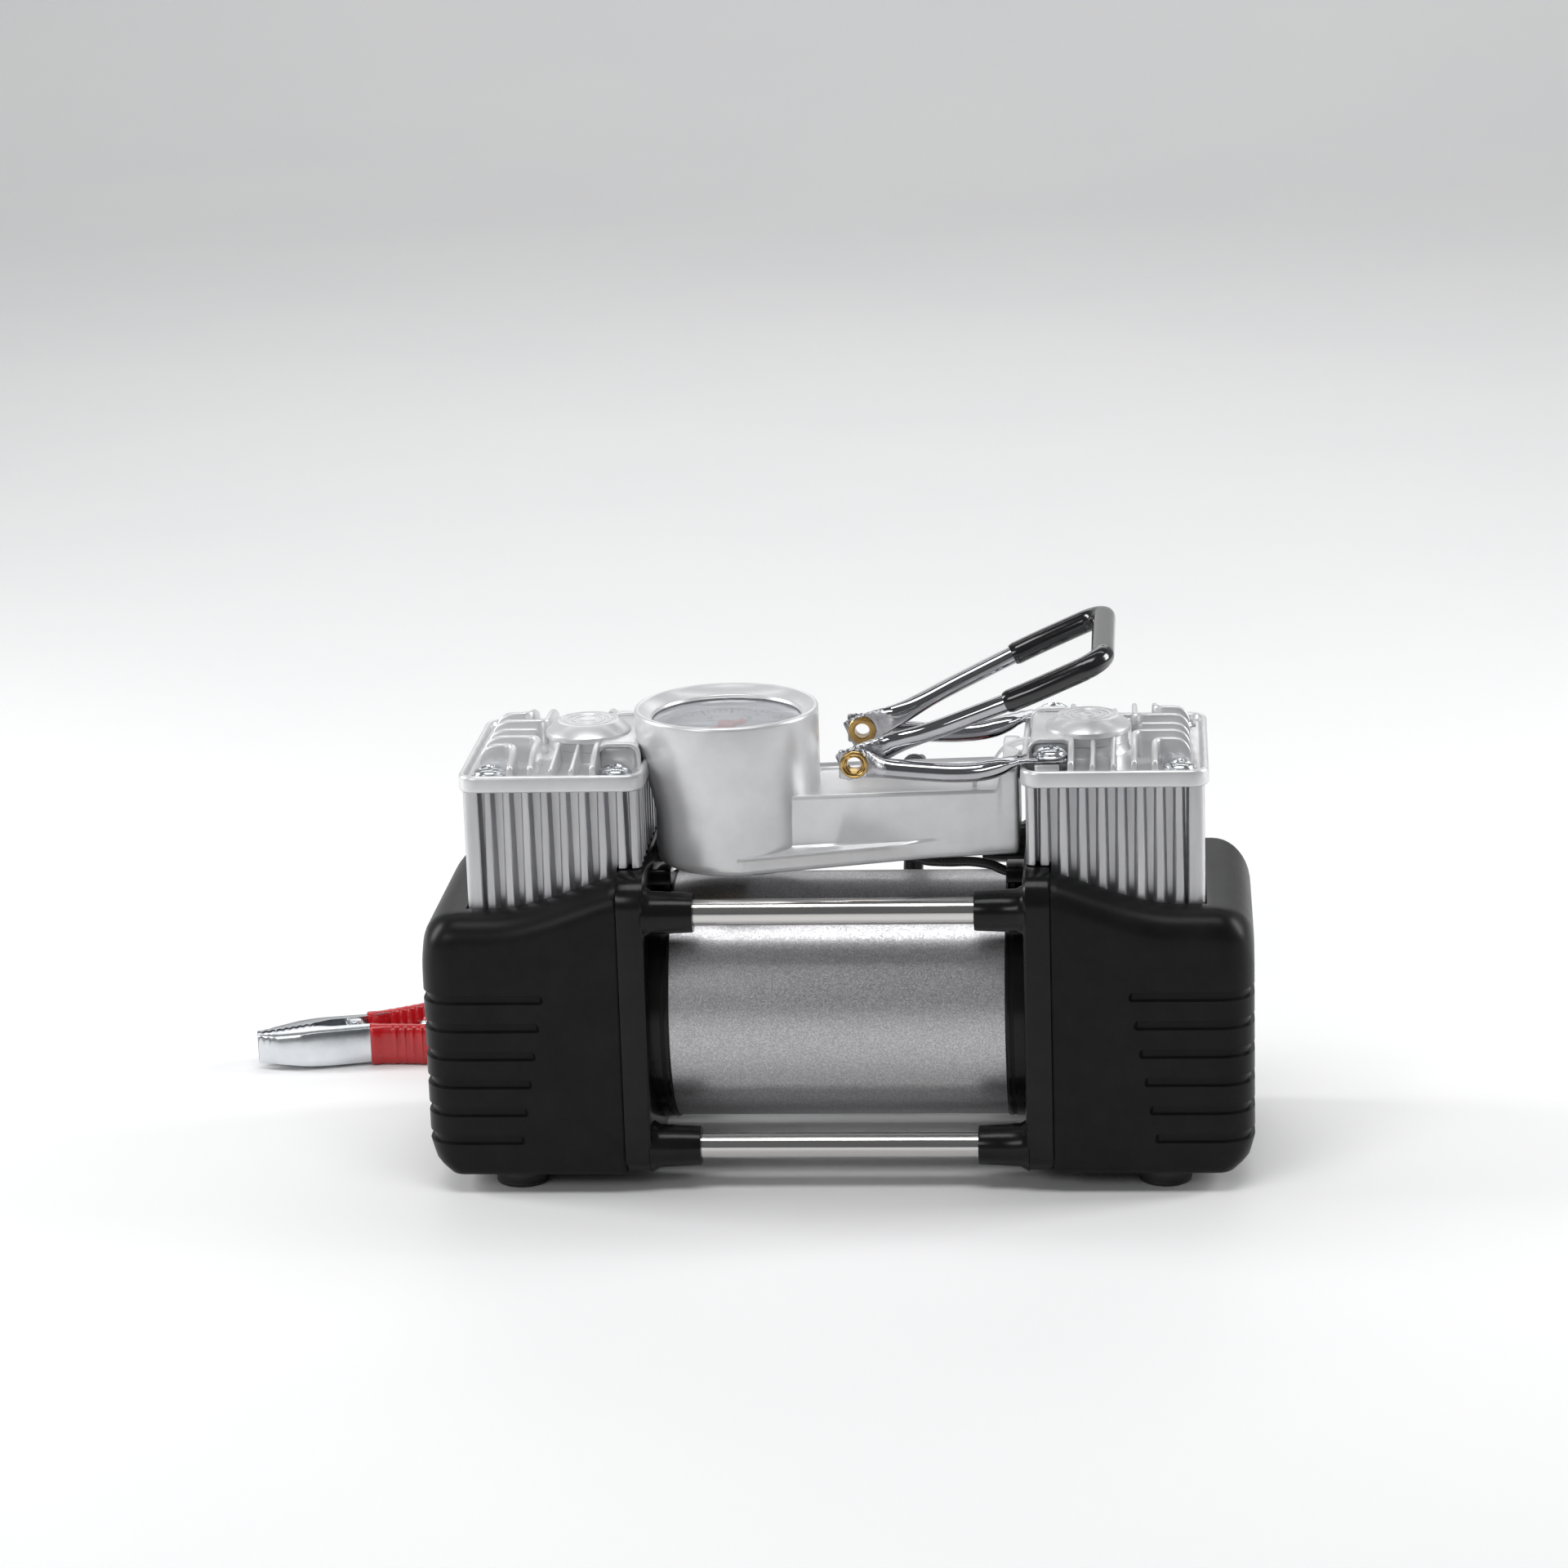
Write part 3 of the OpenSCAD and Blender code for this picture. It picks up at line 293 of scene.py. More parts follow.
def arc(cx, cy, r, a0, a1, n):
    angles = [radians(a0 + (a1 - a0) * i / n) for i in range(n + 1)]
    return [(cx + r * cos(a), cy + r * sin(a)) for a in angles]


def circle(cx, cy, r, z, n=128):
    return [(cx + r * cos(2 * pi * k / n), cy + r * sin(2 * pi * k / n), z) for k in range(n)]


def round_rect(w, d, r, n=6, x=0, y=0):
    """Outline of a rectangle with round corners about x, y, anticlockwise."""
    out = []
    for k, (sx, sy) in enumerate(((1, 1), (-1, 1), (-1, -1), (1, -1))):
        out += arc(x + sx * (w / 2 - r), y + sy * (d / 2 - r), r, 90 * k, 90 * k + 90, n)
    return out


def loft(rings, closed_path=False):
    """Joins rings of equal count, each a closed loop of points; an open row of rings gets a cap at each end."""
    n = len(rings[0])
    count = len(rings)
    faces = []
    for i in range(count if closed_path else count - 1):
        j = (i + 1) % count
        faces += [(i * n + k, i * n + (k + 1) % n, j * n + (k + 1) % n, j * n + k) for k in range(n)]
    if not closed_path:
        faces.append(tuple(range(n))[::-1])
        faces.append(tuple(range((count - 1) * n, count * n)))
    return [p for ring in rings for p in ring], faces


def lathe(profile, n=64):
    """Turns a profile of (radius, height) about Z; one that ends where it starts gives a ring."""
    rings = [circle(0, 0, max(r, 1e-4), z, n) for r, z in profile]
    return loft(rings[:-1], closed_path=True) if profile[0] == profile[-1] else loft(rings)


def slab(outline, levels):
    """Lofts an outline through (inset, z) levels; the inset moves each point along its own normal."""
    normals = []
    for (ax, ay), (bx, by) in zip(outline[-1:] + outline[:-1], outline[1:] + outline[:1]):
        length = hypot(bx - ax, by - ay) or 1
        normals.append(((by - ay) / length, -(bx - ax) / length))
    return loft([[(x - nx * inset, y - ny * inset, z) for (x, y), (nx, ny) in zip(outline, normals)]
                 for inset, z in levels])


def smooth_path(points, per=6):
    """A Catmull-Rom curve through the points, per steps to a span."""
    pts = [Vector(p) for p in points]
    ends = [2 * pts[0] - pts[1]] + pts + [2 * pts[-1] - pts[-2]]
    out = []
    for a, b, c, d in zip(ends, ends[1:], ends[2:], ends[3:]):
        for t in (k / per for k in range(per)):
            out.append(0.5 * (2 * b + (c - a) * t + (2 * a - 5 * b + 4 * c - d) * t * t
                              + (3 * b - a - 3 * c + d) * t ** 3))
    return out + [pts[-1]]


def tangents(path):
    last = len(path) - 1
    return [(path[min(i + 1, last)] - path[max(i - 1, 0)]).normalized() for i in range(last + 1)]


def carried_sides(path, first):
    """A side vector for each point, carried along the path without twist."""
    side = Vector(first)
    out = []
    for t in tangents(path):
        side = (side - t * side.dot(t)).normalized()
        out.append(side)
    return out


def sweep(path, section, sides, n=20):
    """Sweeps a section along a path. section(i, angle) gives (across, up) in the ring's own axes."""
    rings = []
    for i, (p, t, a) in enumerate(zip(path, tangents(path), sides)):
        b = t.cross(a)
        places = [section(i, 2 * pi * k / n) for k in range(n)]
        rings.append([tuple(p + a * across + b * up) for across, up in places])
    return loft(rings)


def super_ellipse(ra, rb, power, angle):
    c, s = cos(angle), sin(angle)
    return copysign(ra * abs(c) ** (2 / power), c), copysign(rb * abs(s) ** (2 / power), s)


def tube(path, radius, n=20, first=(0, 0, 1), lip=0):
    """A round tube; lip rounds its two ends over that length."""
    lengths = [0]
    for a, b in zip(path, path[1:]):
        lengths.append(lengths[-1] + (b - a).length)
    radii = [radius - (shoulder(min(s, lengths[-1] - s), lip) if lip else 0) for s in lengths]
    return sweep(path, lambda i, angle: (radii[i] * cos(angle), radii[i] * sin(angle)), carried_sides(path, first), n)


# ---------- power lead and battery clips ----------

TWIN_W = 6.4
TWIN_T = 3.2
COIL_X = -40
COIL_Y = 144
OUTER_TURN = 46.25
COLUMN = 3.3
LAST_COLUMN = 5
LAYERS = (3.2, 9.6)
CLIMB = (5.5, 5.8)
COIL_TURNS = 11.05
COIL_START = -80.3
STEPS_PER_TURN = 40
TIE_TURN = radians(28)
TIE_R = 38
TIE_Z = 6.9
TIE_T = 0.7
TIE_WIDTH = 7

# Heights in these routes are above the surface that the unit stands on.
CORD_DROP = [(21, 36, 111), (21, 40, 111), (21, 48, 110.6), (20.5, 57, 108), (20, 65, 102), (19.5, 70.5, 92),
             (18.5, 73.5, 78), (17.5, 75, 61), (16.5, 76, 44), (15, 77.5, 28), (11.5, 80.5, 15), (6, 85, 7),
             (-2, 90, 3.6), (-12, 94, 3.2), (-23, 96.4, 3.2), (-31.4, 97.2, 3.2)]
CORD_TAIL = [(-48, 97.4, 9.4), (-58, 97.2, 8.2), (-68, 96, 5.8), (-78, 94.4, 3.8), (-88, 92.8, 3.2), (-97, 92, 3.2)]
SPLIT_SLEEVE = [(-89, 92.6, 2.3), (-93, 92.2, 2.25), (-97, 92, 2.2), (-101.5, 92.3, 2.2)]
RED_PATH = [(-95, 93.6, 1.7), (-97, 93.6, 1.7), (-104, 95, 1.8), (-111, 98.4, 2.4), (-117.5, 101.6, 3.8),
            (-124, 102.8, 5.4), (-131, 101.5, 6.6), (-138, 99.7, 7), (-142.8, 98.3, 7), (-147.6, 96.6, 7)]
BLACK_PATH = [(-95, 90.4, 1.7), (-97, 90.4, 1.7), (-104, 90.6, 1.8), (-111.5, 88.4, 2.2), (-117, 83, 3),
              (-119, 76, 4), (-117, 69.2, 5.2), (-111.8, 64, 6.3), (-105, 61.8, 7), (-97.5, 60.9, 7),
              (-93, 60.9, 7), (-88.4, 61.1, 7)]
# Each lead: colour, route, length in metres, then the clip's place on the bench and its turn in degrees
LEADS = (("red", RED_PATH, 0.056, (-132, 92), 194), ("black", BLACK_PATH, 0.072, (-103, 70), -3))


def on_bench(points):
    """Points given above the bench, counted from the shaft's height as the shapes are."""
    return [Vector((x, y, z - AXIS_Z)) for x, y, z in points]


def coil_point(turn):
    """The lead's place in the coil: six columns inwards on the bench, then back out on top of them."""
    whole = int(turn)
    if turn < CLIMB[1]:
        column = min(whole + smoothstep(0.8, 1, turn - whole), LAST_COLUMN)
    else:
        column = LAST_COLUMN - sum(smoothstep(k + 0.2, k + 0.45, turn) for k in range(6, 11))
    ends = 1.25 * (1 - smoothstep(0, 0.12, turn)) + smoothstep(COIL_TURNS - 0.12, COIL_TURNS, turn)
    r = OUTER_TURN - COLUMN * column + ends
    a = radians(COIL_START - 360 * turn)
    z = LAYERS[0] + (LAYERS[1] - LAYERS[0]) * smoothstep(*CLIMB, turn)
    return COIL_X + r * cos(a), COIL_Y + r * sin(a), z


def twin_lead():
    """Two joined conductors: flat at the gland, on edge in the coil, flat again where they part."""
    coil = on_bench(coil_point(i / STEPS_PER_TURN) for i in range(1, int(COIL_TURNS * STEPS_PER_TURN) + 1))
    drop = smooth_path(on_bench(CORD_DROP), 4)
    tail = smooth_path(on_bench(CORD_TAIL), 4)
    path = drop + coil + tail
    upright = Vector((0, 0, 1))
    sides = carried_sides(path, (1, 0, 0))
    for i, (p, side, direction) in enumerate(zip(path, sides, tangents(path))):
        on_edge = 1 if i >= len(drop) else smoothstep(20, 4, p.z + AXIS_Z)
        side = side.lerp(upright if side.dot(upright) >= 0 else -upright, on_edge)
        side = (side - direction * side.dot(direction)).normalized()
        in_tail = i - len(path) + len(tail)
        if in_tail >= 0:
            lean = smoothstep(0.35, 0.85, in_tail / (len(tail) - 1)) * pi / 2
            side = Matrix.Rotation(lean, 3, direction) @ side
            p.z -= TWIN_T / 2 * (1 - cos(lean))
        sides[i] = side

    def section(i, angle):
        across = TWIN_W / 2 * cos(angle)
        bead = sqrt(max(0, (TWIN_T / 2) ** 2 - (abs(across) - TWIN_T / 2) ** 2))
        web = 0.8 if abs(across) < TWIN_T / 2 else 0
        return across, max(bead, web) * (1 if sin(angle) >= 0 else -1) * (abs(sin(angle)) > 1e-6)
    return path, sweep(path, section, sides)


def coil_tie():
    """A strap round the coil's section."""
    out = Vector((cos(TIE_TURN), sin(TIE_TURN), 0))
    width = Vector((-out.y, out.x, 0)) * TIE_WIDTH / 2
    middle = Vector((COIL_X, COIL_Y, TIE_Z - AXIS_Z)) + out * TIE_R
    loop = [Vector(p) for p in round_rect(20.6, 13.2, 2.2, 5)]
    rings = []
    for near, p, far in zip(loop[-1:] + loop, loop, loop[1:] + loop[:1]):
        normal = Vector((far.y - near.y, near.x - far.x)).normalized() * TIE_T
        inner = middle + out * p.x + Vector((0, 0, p.y))
        outer = inner + out * normal.x + Vector((0, 0, normal.y))
        outer.z = max(outer.z, 0.02 - AXIS_Z)
        inner.z = max(inner.z, 0.4 - AXIS_Z)
        rings.append([inner - width, outer - width, outer + width, inner + width])
    return loft(rings, closed_path=True)


def split_sleeve():
    path = smooth_path(on_bench(SPLIT_SLEEVE), 5)

    def section(i, angle):
        shrink = 0.9 if i in (0, len(path) - 1) else 1
        return super_ellipse(4.1 * shrink, 2.15 * shrink, 2.6, angle)
    return sweep(path, section, carried_sides(path, (0, 1, 0)), 24)


# The jaw's inner and outer edge, from its tail to its nose, beside the clip's middle plane; then the grip's middle
# line and half thickness
JAW_EDGES = [(12, 10.9, 13.4), (24, 6.8, 9.6), (34, 3.9, 8), (46, 3.5, 8.4), (50, 1.8, 8.3), (56, 1.6, 8),
             (64, 1.6, 6), (70, 1.2, 2.6)]
SLEEVE_LINE = [(0, 12, 1.7), (5, 13, 2), (12, 12.1, 2.1), (24, 8.2, 2.3), (33, 6.1, 2.3)]
JAW_STEPS = 90
JAW_WALL = 1.1
SLEEVE_STEPS = 66
CLIP_MID = 7
CLIP_PIN_X = 38
TEETH_FROM = 51.5
TOOTH = 2.25
LUG_T = 1.8
SPRING_R = 2.6
SPRING_STEPS = 60


def between(rows, x):
    """The two values at x in rows of (x, value, value)."""
    for low, high in zip(rows, rows[1:]):
        if x <= high[0]:
            t = max(0, (x - low[0]) / (high[0] - low[0]))
            return [a + (b - a) * t for a, b in zip(low[1:], high[1:])]
    return rows[-1][1:]


def jaw_metal(side, lugs):
    """A pressed channel with teeth along its two cheeks, and its two lugs round the pin."""
    rings = []
    for i in range(JAW_STEPS + 1):
        x = 14 + 56 * i / JAW_STEPS
        inner, outer = between(JAW_EDGES, x)
        if x > TEETH_FROM:
            phase = (x - TEETH_FROM) / TOOTH + (0.5 if side > 0 else 0)
            inner = 0.25 + 1.5 * abs(2 * (phase % 1) - 1)
        half = 6.4 - 1.4 * smoothstep(48, 70, x)
        outer = max(outer, inner + 1.3)
        bend = min(2, (outer - inner) * 0.5)
        cheek = [(half, inner), (half, outer - bend), (half - bend * 0.3, outer - bend * 0.3), (half - bend, outer)]
        lining = [(half - bend, outer - JAW_WALL), (half - JAW_WALL - bend * 0.1, outer - bend),
                  (half - JAW_WALL, inner)]
        ring = cheek + [(-z, y) for z, y in reversed(cheek)]
        ring += [(-z, y) for z, y in reversed(lining)] + lining
        rings.append([(x, side * y, CLIP_MID + z) for z, y in ring])
    shape = Build(loft(rings))
    eye = arc(CLIP_PIN_X, 0, 3, 180, 360, 14) + [(CLIP_PIN_X + 3, 6.5), (CLIP_PIN_X - 3, 6.5)]
    bridge = [(CLIP_PIN_X + x, y) for x, y in ((-3, 5.6), (3, 5.6), (3, 6.6), (-3, 6.6))]
    eye, bridge = ([(x, side * y) for x, y in outline][::side] for outline in (eye, bridge))
    for low in lugs:
        shape.add(slab(eye, [(0.25, low), (0, low + 0.25), (0, low + LUG_T - 0.25), (0.25, low + LUG_T)]))
        shape.add(slab(bridge, [(0, min(low, 1)), (0, max(low + LUG_T, 13))]))
    return shape


def jaw_sleeve(side):
    """A moulded grip over the jaw's tail, ribbed across and flared where the fingers stop."""
    rings = []
    for i in range(-2, SLEEVE_STEPS + 3):
        x = 33 * min(max(i, 0), SLEEVE_STEPS) / SLEEVE_STEPS
        middle, thick = between(SLEEVE_LINE, x)
        ridge = 0.4 * max(0, sin(2 * pi * x / 2.75)) * (5 < x < 28)
        flare = 0.9 * smoothstep(29, 32.5, x)
        end = max(-i, i - SLEEVE_STEPS, 0)
        shrink = (1, 0.9, 0.72)[end]
        high = (thick + ridge + flare) * shrink
        wide = (6.75 + 0.25 * (flare + ridge)) * (1 - (1 - shrink) * 0.5)
        ring = [super_ellipse(high, wide, 3, 2 * pi * k / 28) for k in range(28)]
        rings.append([(x + copysign(0.3 * end, i), side * (middle + up), CLIP_MID + across) for up, across in ring])
    return Build(loft(rings))


def clip_spring():
    """The pin with its two heads, and the torsion spring that holds the jaws shut."""
    head = [(0, 0), (1.9, 0), (2.4, 0.3), (2.4, 0.8), (1.6, 0.9)]
    pin = head + [(r, 2 * CLIP_MID - z) for r, z in reversed(head)]
    angles = arc(0, 0, SPRING_R, 76.7, -76.7 - 720, SPRING_STEPS)
    coil = [(CLIP_PIN_X + x, y, 5.7 + 2.6 * k / SPRING_STEPS) for k, (x, y) in enumerate(angles)]
    wire = [(26, 5.6, 5.6), (30, 4.6, 5.6), (34, 3.65, 5.65)] + coil
    wire += [(34, -3.65, 8.35), (30, -4.6, 8.4), (26, -5.6, 8.4)]
    return Build(lathe(pin, 24), shift((CLIP_PIN_X, 0, 0))).add(tube([Vector(p) for p in wire], 0.45, 10))


def battery_clip(colour, at, turn):
    place = shift((*at, -AXIS_Z)) @ Matrix.Rotation(radians(turn), 4, "Z")
    plastic, fixed, moving = colour + "_plastic", colour + "_clip_fixed_jaw", colour + "_clip_moving_jaw"
    crimp = smooth_path([(10, -8.65, CLIP_MID), (13, -8.35, CLIP_MID), (16, -8, CLIP_MID)], 3)
    channel = jaw_metal(-1, (1.2, 11)).add(tube(crimp, 2.1, 18, lip=0.5))
    pieces = [("fixed_channel", "zinc", fixed, "unit", channel),
              ("fixed_grip", plastic, fixed, "unit", jaw_sleeve(-1)),
              ("moving_channel", "zinc", moving, colour + "_clip_jaw", jaw_metal(1, (3.4, 8.8))),
              ("moving_grip", plastic, moving, colour + "_clip_jaw", jaw_sleeve(1)),
              ("pin_and_spring", "zinc", "clip_springs", "unit", clip_spring())]
    return [Build((shape.points, shape.faces), place).make(colour + "_clip_" + name, slot, node, body, sharp=35)
            for name, slot, node, body, shape in pieces]


def single_lead(colour, route, length, *clip):
    path = smooth_path(on_bench(route), 5)
    wire = Build(tube(path, TWIN_T / 2, 16))
    lead = wire.make(colour + "_lead_wire", "cable_" + colour, colour + "_lead", sharp=60)
    tuple(c * MM for c in route[1])
    battery_clip(colour, *clip)
    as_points(in_metres(path))


def power_lead():
    path, mesh = twin_lead()
    lead = Build(mesh).make("power_lead", "cable_black", "power_cord cord_coil", sharp=60)
    tie = Build(coil_tie()).make("coil_tie", "cable_black", "cord_coil", material="black_gloss")
    sleeve = Build(split_sleeve()).make("lead_split_sleeve", "cable_black", "power_cord")
    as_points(in_metres(path))
    for row in LEADS:
        single_lead(*row)


power_lead()

# ---------- end covers and crankcase plates ----------

PLATE_X = 56.5
SEAM_X = 64.5
END_X = 125
SHOULDER_X = 113
SHOULDER_Z = 25.9
SHOULDER_R = 12
BEND_X = 115
BEND_R = 10
HALF_DEPTH = 44
CASE_BOTTOM = -44
OPENING_X = 111
OPENING_Y = 33.4
COVER_WALL = 2.4
GROOVE_LOW = [10.7 - 8.9 * k for k in range(6)]
GROOVE_START = [87.4 + 1.5 * k for k in range(6)]
GROOVE_HIGH = 3
GROOVE_DEEP = 1.15
COVER_FILLET = 9
FILLET_ANGLES = (11, 23, 34, 45, 56, 68, 79, 90)
BOTTOM_INSETS = (2.2, 1.05, 0.4, 0.08)
ROD_PLACES = [(0, y, z) for y in (-36, 36) for z in (-37, 37)]


def cover_top(x):
    """The cover's top: a smooth step up towards the motor, then a round shoulder at the outboard end."""
    if x > SHOULDER_X:
        return SHOULDER_Z + sqrt(max(0, SHOULDER_R ** 2 - (x - SHOULDER_X) ** 2))
    return 37.9 + 6.2 * (1 + cos(radians(180 * min(max((x - 50) / 54, 0), 1))))


def cover_heights(x):
    """Heights of the side's grid lines: fixed ones that follow the grooves, then stretched up to the fillet."""
    rows = [CASE_BOTTOM, CASE_BOTTOM + 0.45, CASE_BOTTOM + 1.3, CASE_BOTTOM + 2.5, CASE_BOTTOM + 4.4, -37]
    for low in reversed(GROOVE_LOW):
        high = low + GROOVE_HIGH
        rows += [low - 0.25, low, low + 0.4, low + 1.5, high - 0.4, high, high + 0.25]
    top = cover_top(x)
    base = rows[-1]
    rows += [base + (top - COVER_FILLET - base) * t for t in (0.2, 0.4, 0.6, 0.8, 1)]
    return rows + [top - COVER_FILLET * (1 - sin(radians(a))) for a in FILLET_ANGLES]


def cover_inset(row, rows):
    """How far a grid line lies inside the side's plane, where the top and bottom edges are rounded."""
    in_fillet = row - rows + len(FILLET_ANGLES)
    if in_fillet >= 0:
        return COVER_FILLET * (1 - cos(radians(FILLET_ANGLES[in_fillet])))
    return BOTTOM_INSETS[row] if row < len(BOTTOM_INSETS) else 0


def groove_depth(x, z, front_of_corner):
    """Depth of the grooves at this place; they begin with a round end and run round the outboard corner."""
    for low, start in zip(GROOVE_LOW, GROOVE_START):
        ahead = max(0, start + GROOVE_HIGH / 2 - x) if front_of_corner else 0
        inside = GROOVE_HIGH / 2 - hypot(ahead, z - low - GROOVE_HIGH / 2)
        if inside > 0.2:
            return GROOVE_DEEP
        if inside > -0.05:
            return 0
    return 0


def end_draft(x, z):
    """The outboard end leans in at the bottom, as a moulding does."""
    reach = END_X - 1.6 * smoothstep(-34, -40, z) - 3.6 * smoothstep(-39.5, -44, z)
    return SHOULDER_X + (x - SHOULDER_X) * (reach - SHOULDER_X) / (END_X - SHOULDER_X) if x > SHOULDER_X else x


def cover_shell(_side):
    """One moulded cover: a grid over its sides, top, bottom and outboard end, with its lining."""
    stations = [SEAM_X, 65.3, 67, 71, 75, 79, 83, 86] + [86.5 + 0.5 * k for k in range(1, 23)]
    stations += [99.5, 102, 105, 108, OPENING_X, SHOULDER_X]
    stations += [x for x, _ in arc(BEND_X, 0, BEND_R, -90, 0, 9)]
    across = [-1, -0.985, -0.955, -0.92, -0.87, -OPENING_Y / HALF_DEPTH, -0.55, -0.3, 0]
    across += [-t for t in reversed(across[:-1])]
    columns = len(across) - 1
    rows = len(cover_heights(SEAM_X))
    last = len(stations) - 1
    floor_z = CASE_BOTTOM + COVER_WALL
    grid = {}  # (station, row, column): the point outside and the point of the lining

    for i, x in enumerate(stations):
        past = x - BEND_X
        bend = 0 if past <= 0 else pi / 2 if x >= END_X else atan2(past, sqrt(BEND_R ** 2 - past ** 2))
        depth = HALF_DEPTH if past <= 0 else HALF_DEPTH - BEND_R * (1 - cos(bend))
        heights = cover_heights(x)
        ceiling = cover_top(min(x, 122)) - COVER_WALL
        for j, z in enumerate(heights):
            inset = cover_inset(j, rows)
            cut = groove_depth(x, z, True)
            thin = max(COVER_WALL, inset * 0.6)
            out = depth - inset - cut * cos(bend) - (0.7 if x < 65 else 0)
            lining = depth - inset - thin * cos(bend)
            px = end_draft(x - cut * sin(bend), z)
            for s, k in ((-1, 0), (1, columns)):
                grid[i, j, k] = (px, s * out, z), (px - thin * sin(bend), s * lining, min(max(z, floor_z), ceiling))
        for j in (0, rows - 1):
            half = depth - cover_inset(j, rows)
            z = heights[j]
            px = end_draft(x, z)
            for k, t in enumerate(across[1:-1], 1):
                y = t * HALF_DEPTH
                if x > OPENING_X or j == 0:
                    y = half * t
                elif abs(y) >= half:
                    y = copysign(half * (1 - 0.001 * k), t)
                grid[i, j, k] = (px, y, z), (min(px, END_X - COVER_WALL), y * 0.97, floor_z if j == 0 else ceiling)
    for j, z in list(enumerate(cover_heights(END_X)))[1:-1]:
        half = HALF_DEPTH - BEND_R - cover_inset(j, rows)
        cut = groove_depth(END_X, z, False)
        x = end_draft(END_X - cut, z)
        for k, t in enumerate(across[1:-1], 1):
            grid[last, j, k] = (x, half * t, z), (x - COVER_WALL + cut, half * t * 0.95, min(max(z, floor_z), 24.5))

    index = {key: n for n, key in enumerate(grid)}
    faces = []

    def quad(*keys):
        faces.append(tuple(index[key] for key in keys))

    top = rows - 1
    for i in range(last):
        for j in range(top):
            quad((i, j, 0), (i + 1, j, 0), (i + 1, j + 1, 0), (i, j + 1, 0))
            quad((i, j + 1, columns), (i + 1, j + 1, columns), (i + 1, j, columns), (i, j, columns))
        for k in range(columns):
            if stations[i + 1] > OPENING_X or not 5 <= k < columns - 5:
                quad((i, top, k), (i + 1, top, k), (i + 1, top, k + 1), (i, top, k + 1))
            quad((i, 0, k + 1), (i + 1, 0, k + 1), (i + 1, 0, k), (i, 0, k))
    for j in range(top):
        for k in range(columns):
            quad((last, j, k), (last, j, k + 1), (last, j + 1, k + 1), (last, j + 1, k))
    return Build(thicken(*zip(*grid.values()), faces))


def thicken(outer, inner, faces):
    """Joins an open surface to its lining along every free edge, which makes a closed wall."""
    base = len(outer)
    used = {edge for face in faces for edge in zip(face, face[1:] + face[:1])}
    rim = [(b, a, base + a, base + b) for a, b in used if (b, a) not in used]
    return outer + inner, faces + [tuple(base + v for v in reversed(face)) for face in faces] + rim


def crankcase_plate(_side):
    """The thick black plate between motor and cover, its four rod bosses and the motor lead's entry."""
    outline = arc(-34, 39.6, 10, 90, 180, 8) + arc(-38, -38, 6, 180, 270, 6) + arc(38, -38, 6, 270, 360, 6)
    outline += arc(34, 39.6, 10, 0, 90, 8)
    stand = Matrix(((0, 0, 1, 0), (1, 0, 0, 0), (0, 1, 0, 0), (0, 0, 0, 1)))
    solid = slab(outline, [(1.6, PLATE_X), (0.5, PLATE_X + 0.25), (0, PLATE_X + 0.9), (0, 63.7), (0.25, SEAM_X)])
    shape = Build(solid, stand)
    boss = [(4.05, 41.85), (4.6, 41.85), (5.85, 42), (6, 42.4), (6.25, 48), (6.55, 54.5), (7.4, 56),
            (8.2, 57.2), (4.05, 57.2), (4.05, 41.85)]
    for at in ROD_PLACES:
        shape.add(lathe(boss, 40), along("+X", at))
    lug = round_rect(10, 5.4, 1.2, 4, -10, 41.3)
    return shape.add(slab(lug, [(0.5, 50.8), (0.12, 51.1), (0, 51.5), (0, PLATE_X + 0.5)]), stand)


# ---------- motor, rods and feet ----------


def motor_and_case():
    can = [(37.5, -50.6), (37.5, 50.6), (35.3, 50.6), (35.3, -50.6), (37.5, -50.6)]
    ring = [(36.6, 50.7), (37.8, 50.75), (38.1, 51.1), (38.1, 51.9), (37.4, 52.1), (37.4, 53), (38.1, 53.2),
            (38.1, 56.45), (30, 56.45), (30, 50.7), (36.6, 50.7)]
    both_ends(cover_shell, "end_cover_%_shell", "black_casting", "end_cover_%", sharp=40)
    both_ends(crankcase_plate, "crankcase_plate_%_casting", "black_casting", "crankcase_plate_%",
              material="black_gloss")
    both_ends(lambda side: Build(lathe(ring, 128), along("+X")), "motor_end_ring_%", "black_casting",
              material="black_gloss")
    Build(lathe(can, 160), along("+X")).make("motor_can", "silver_paint", "motor_shell", sharp=30)
    rod = [(0, -59), (3.6, -59), (4, -58.6), (4, 58.6), (3.6, 59), (0, 59)]
    rods = Build()
    for at in ROD_PLACES:
        rods.add(lathe(rod, 40), along("+X", at))
    rods.make("polished_tie_rods", "polished_steel", "tie_rods", sharp=30)


def feet():
    """Moulded rubber feet with a bell shape, a ribbed skirt and a counterbore for the screw."""
    profile = [(3.7, 3), (3.7, 0.3), (4.1, 0), (7.2, 0), (7.9, 0.35), (8.1, 1.1), (7.8, 1.5), (8.1, 1.9),
               (8.25, 2.8), (8.9, 3.6), (9.1, 4.2), (9.1, 5.6), (8.7, 6), (1.7, 6), (1.7, 3), (3.7, 3)]
    rubber = Build()
    for x, y in ((-98, -30), (-98, 30), (98, -30), (98, 30)):
        rubber.add(lathe(profile, 48), shift((x, y, -AXIS_Z)))
    rubber.make("moulded_feet", "rubber", "rubber_feet")


motor_and_case()
feet()

# ---------- cylinders ----------

HEAD_X = 84
BORE_R = 15.05
BLOCK = (57.6, 110.6, 33)
BLOCK_R = 2.4
FIN_DEEP = 4.5
FIN_PLACES = [63.1 + 5.7 * k for k in range(8)]
END_FIN_PLACES = [6.38 * k for k in range(-4, 5)]
DECK = 74


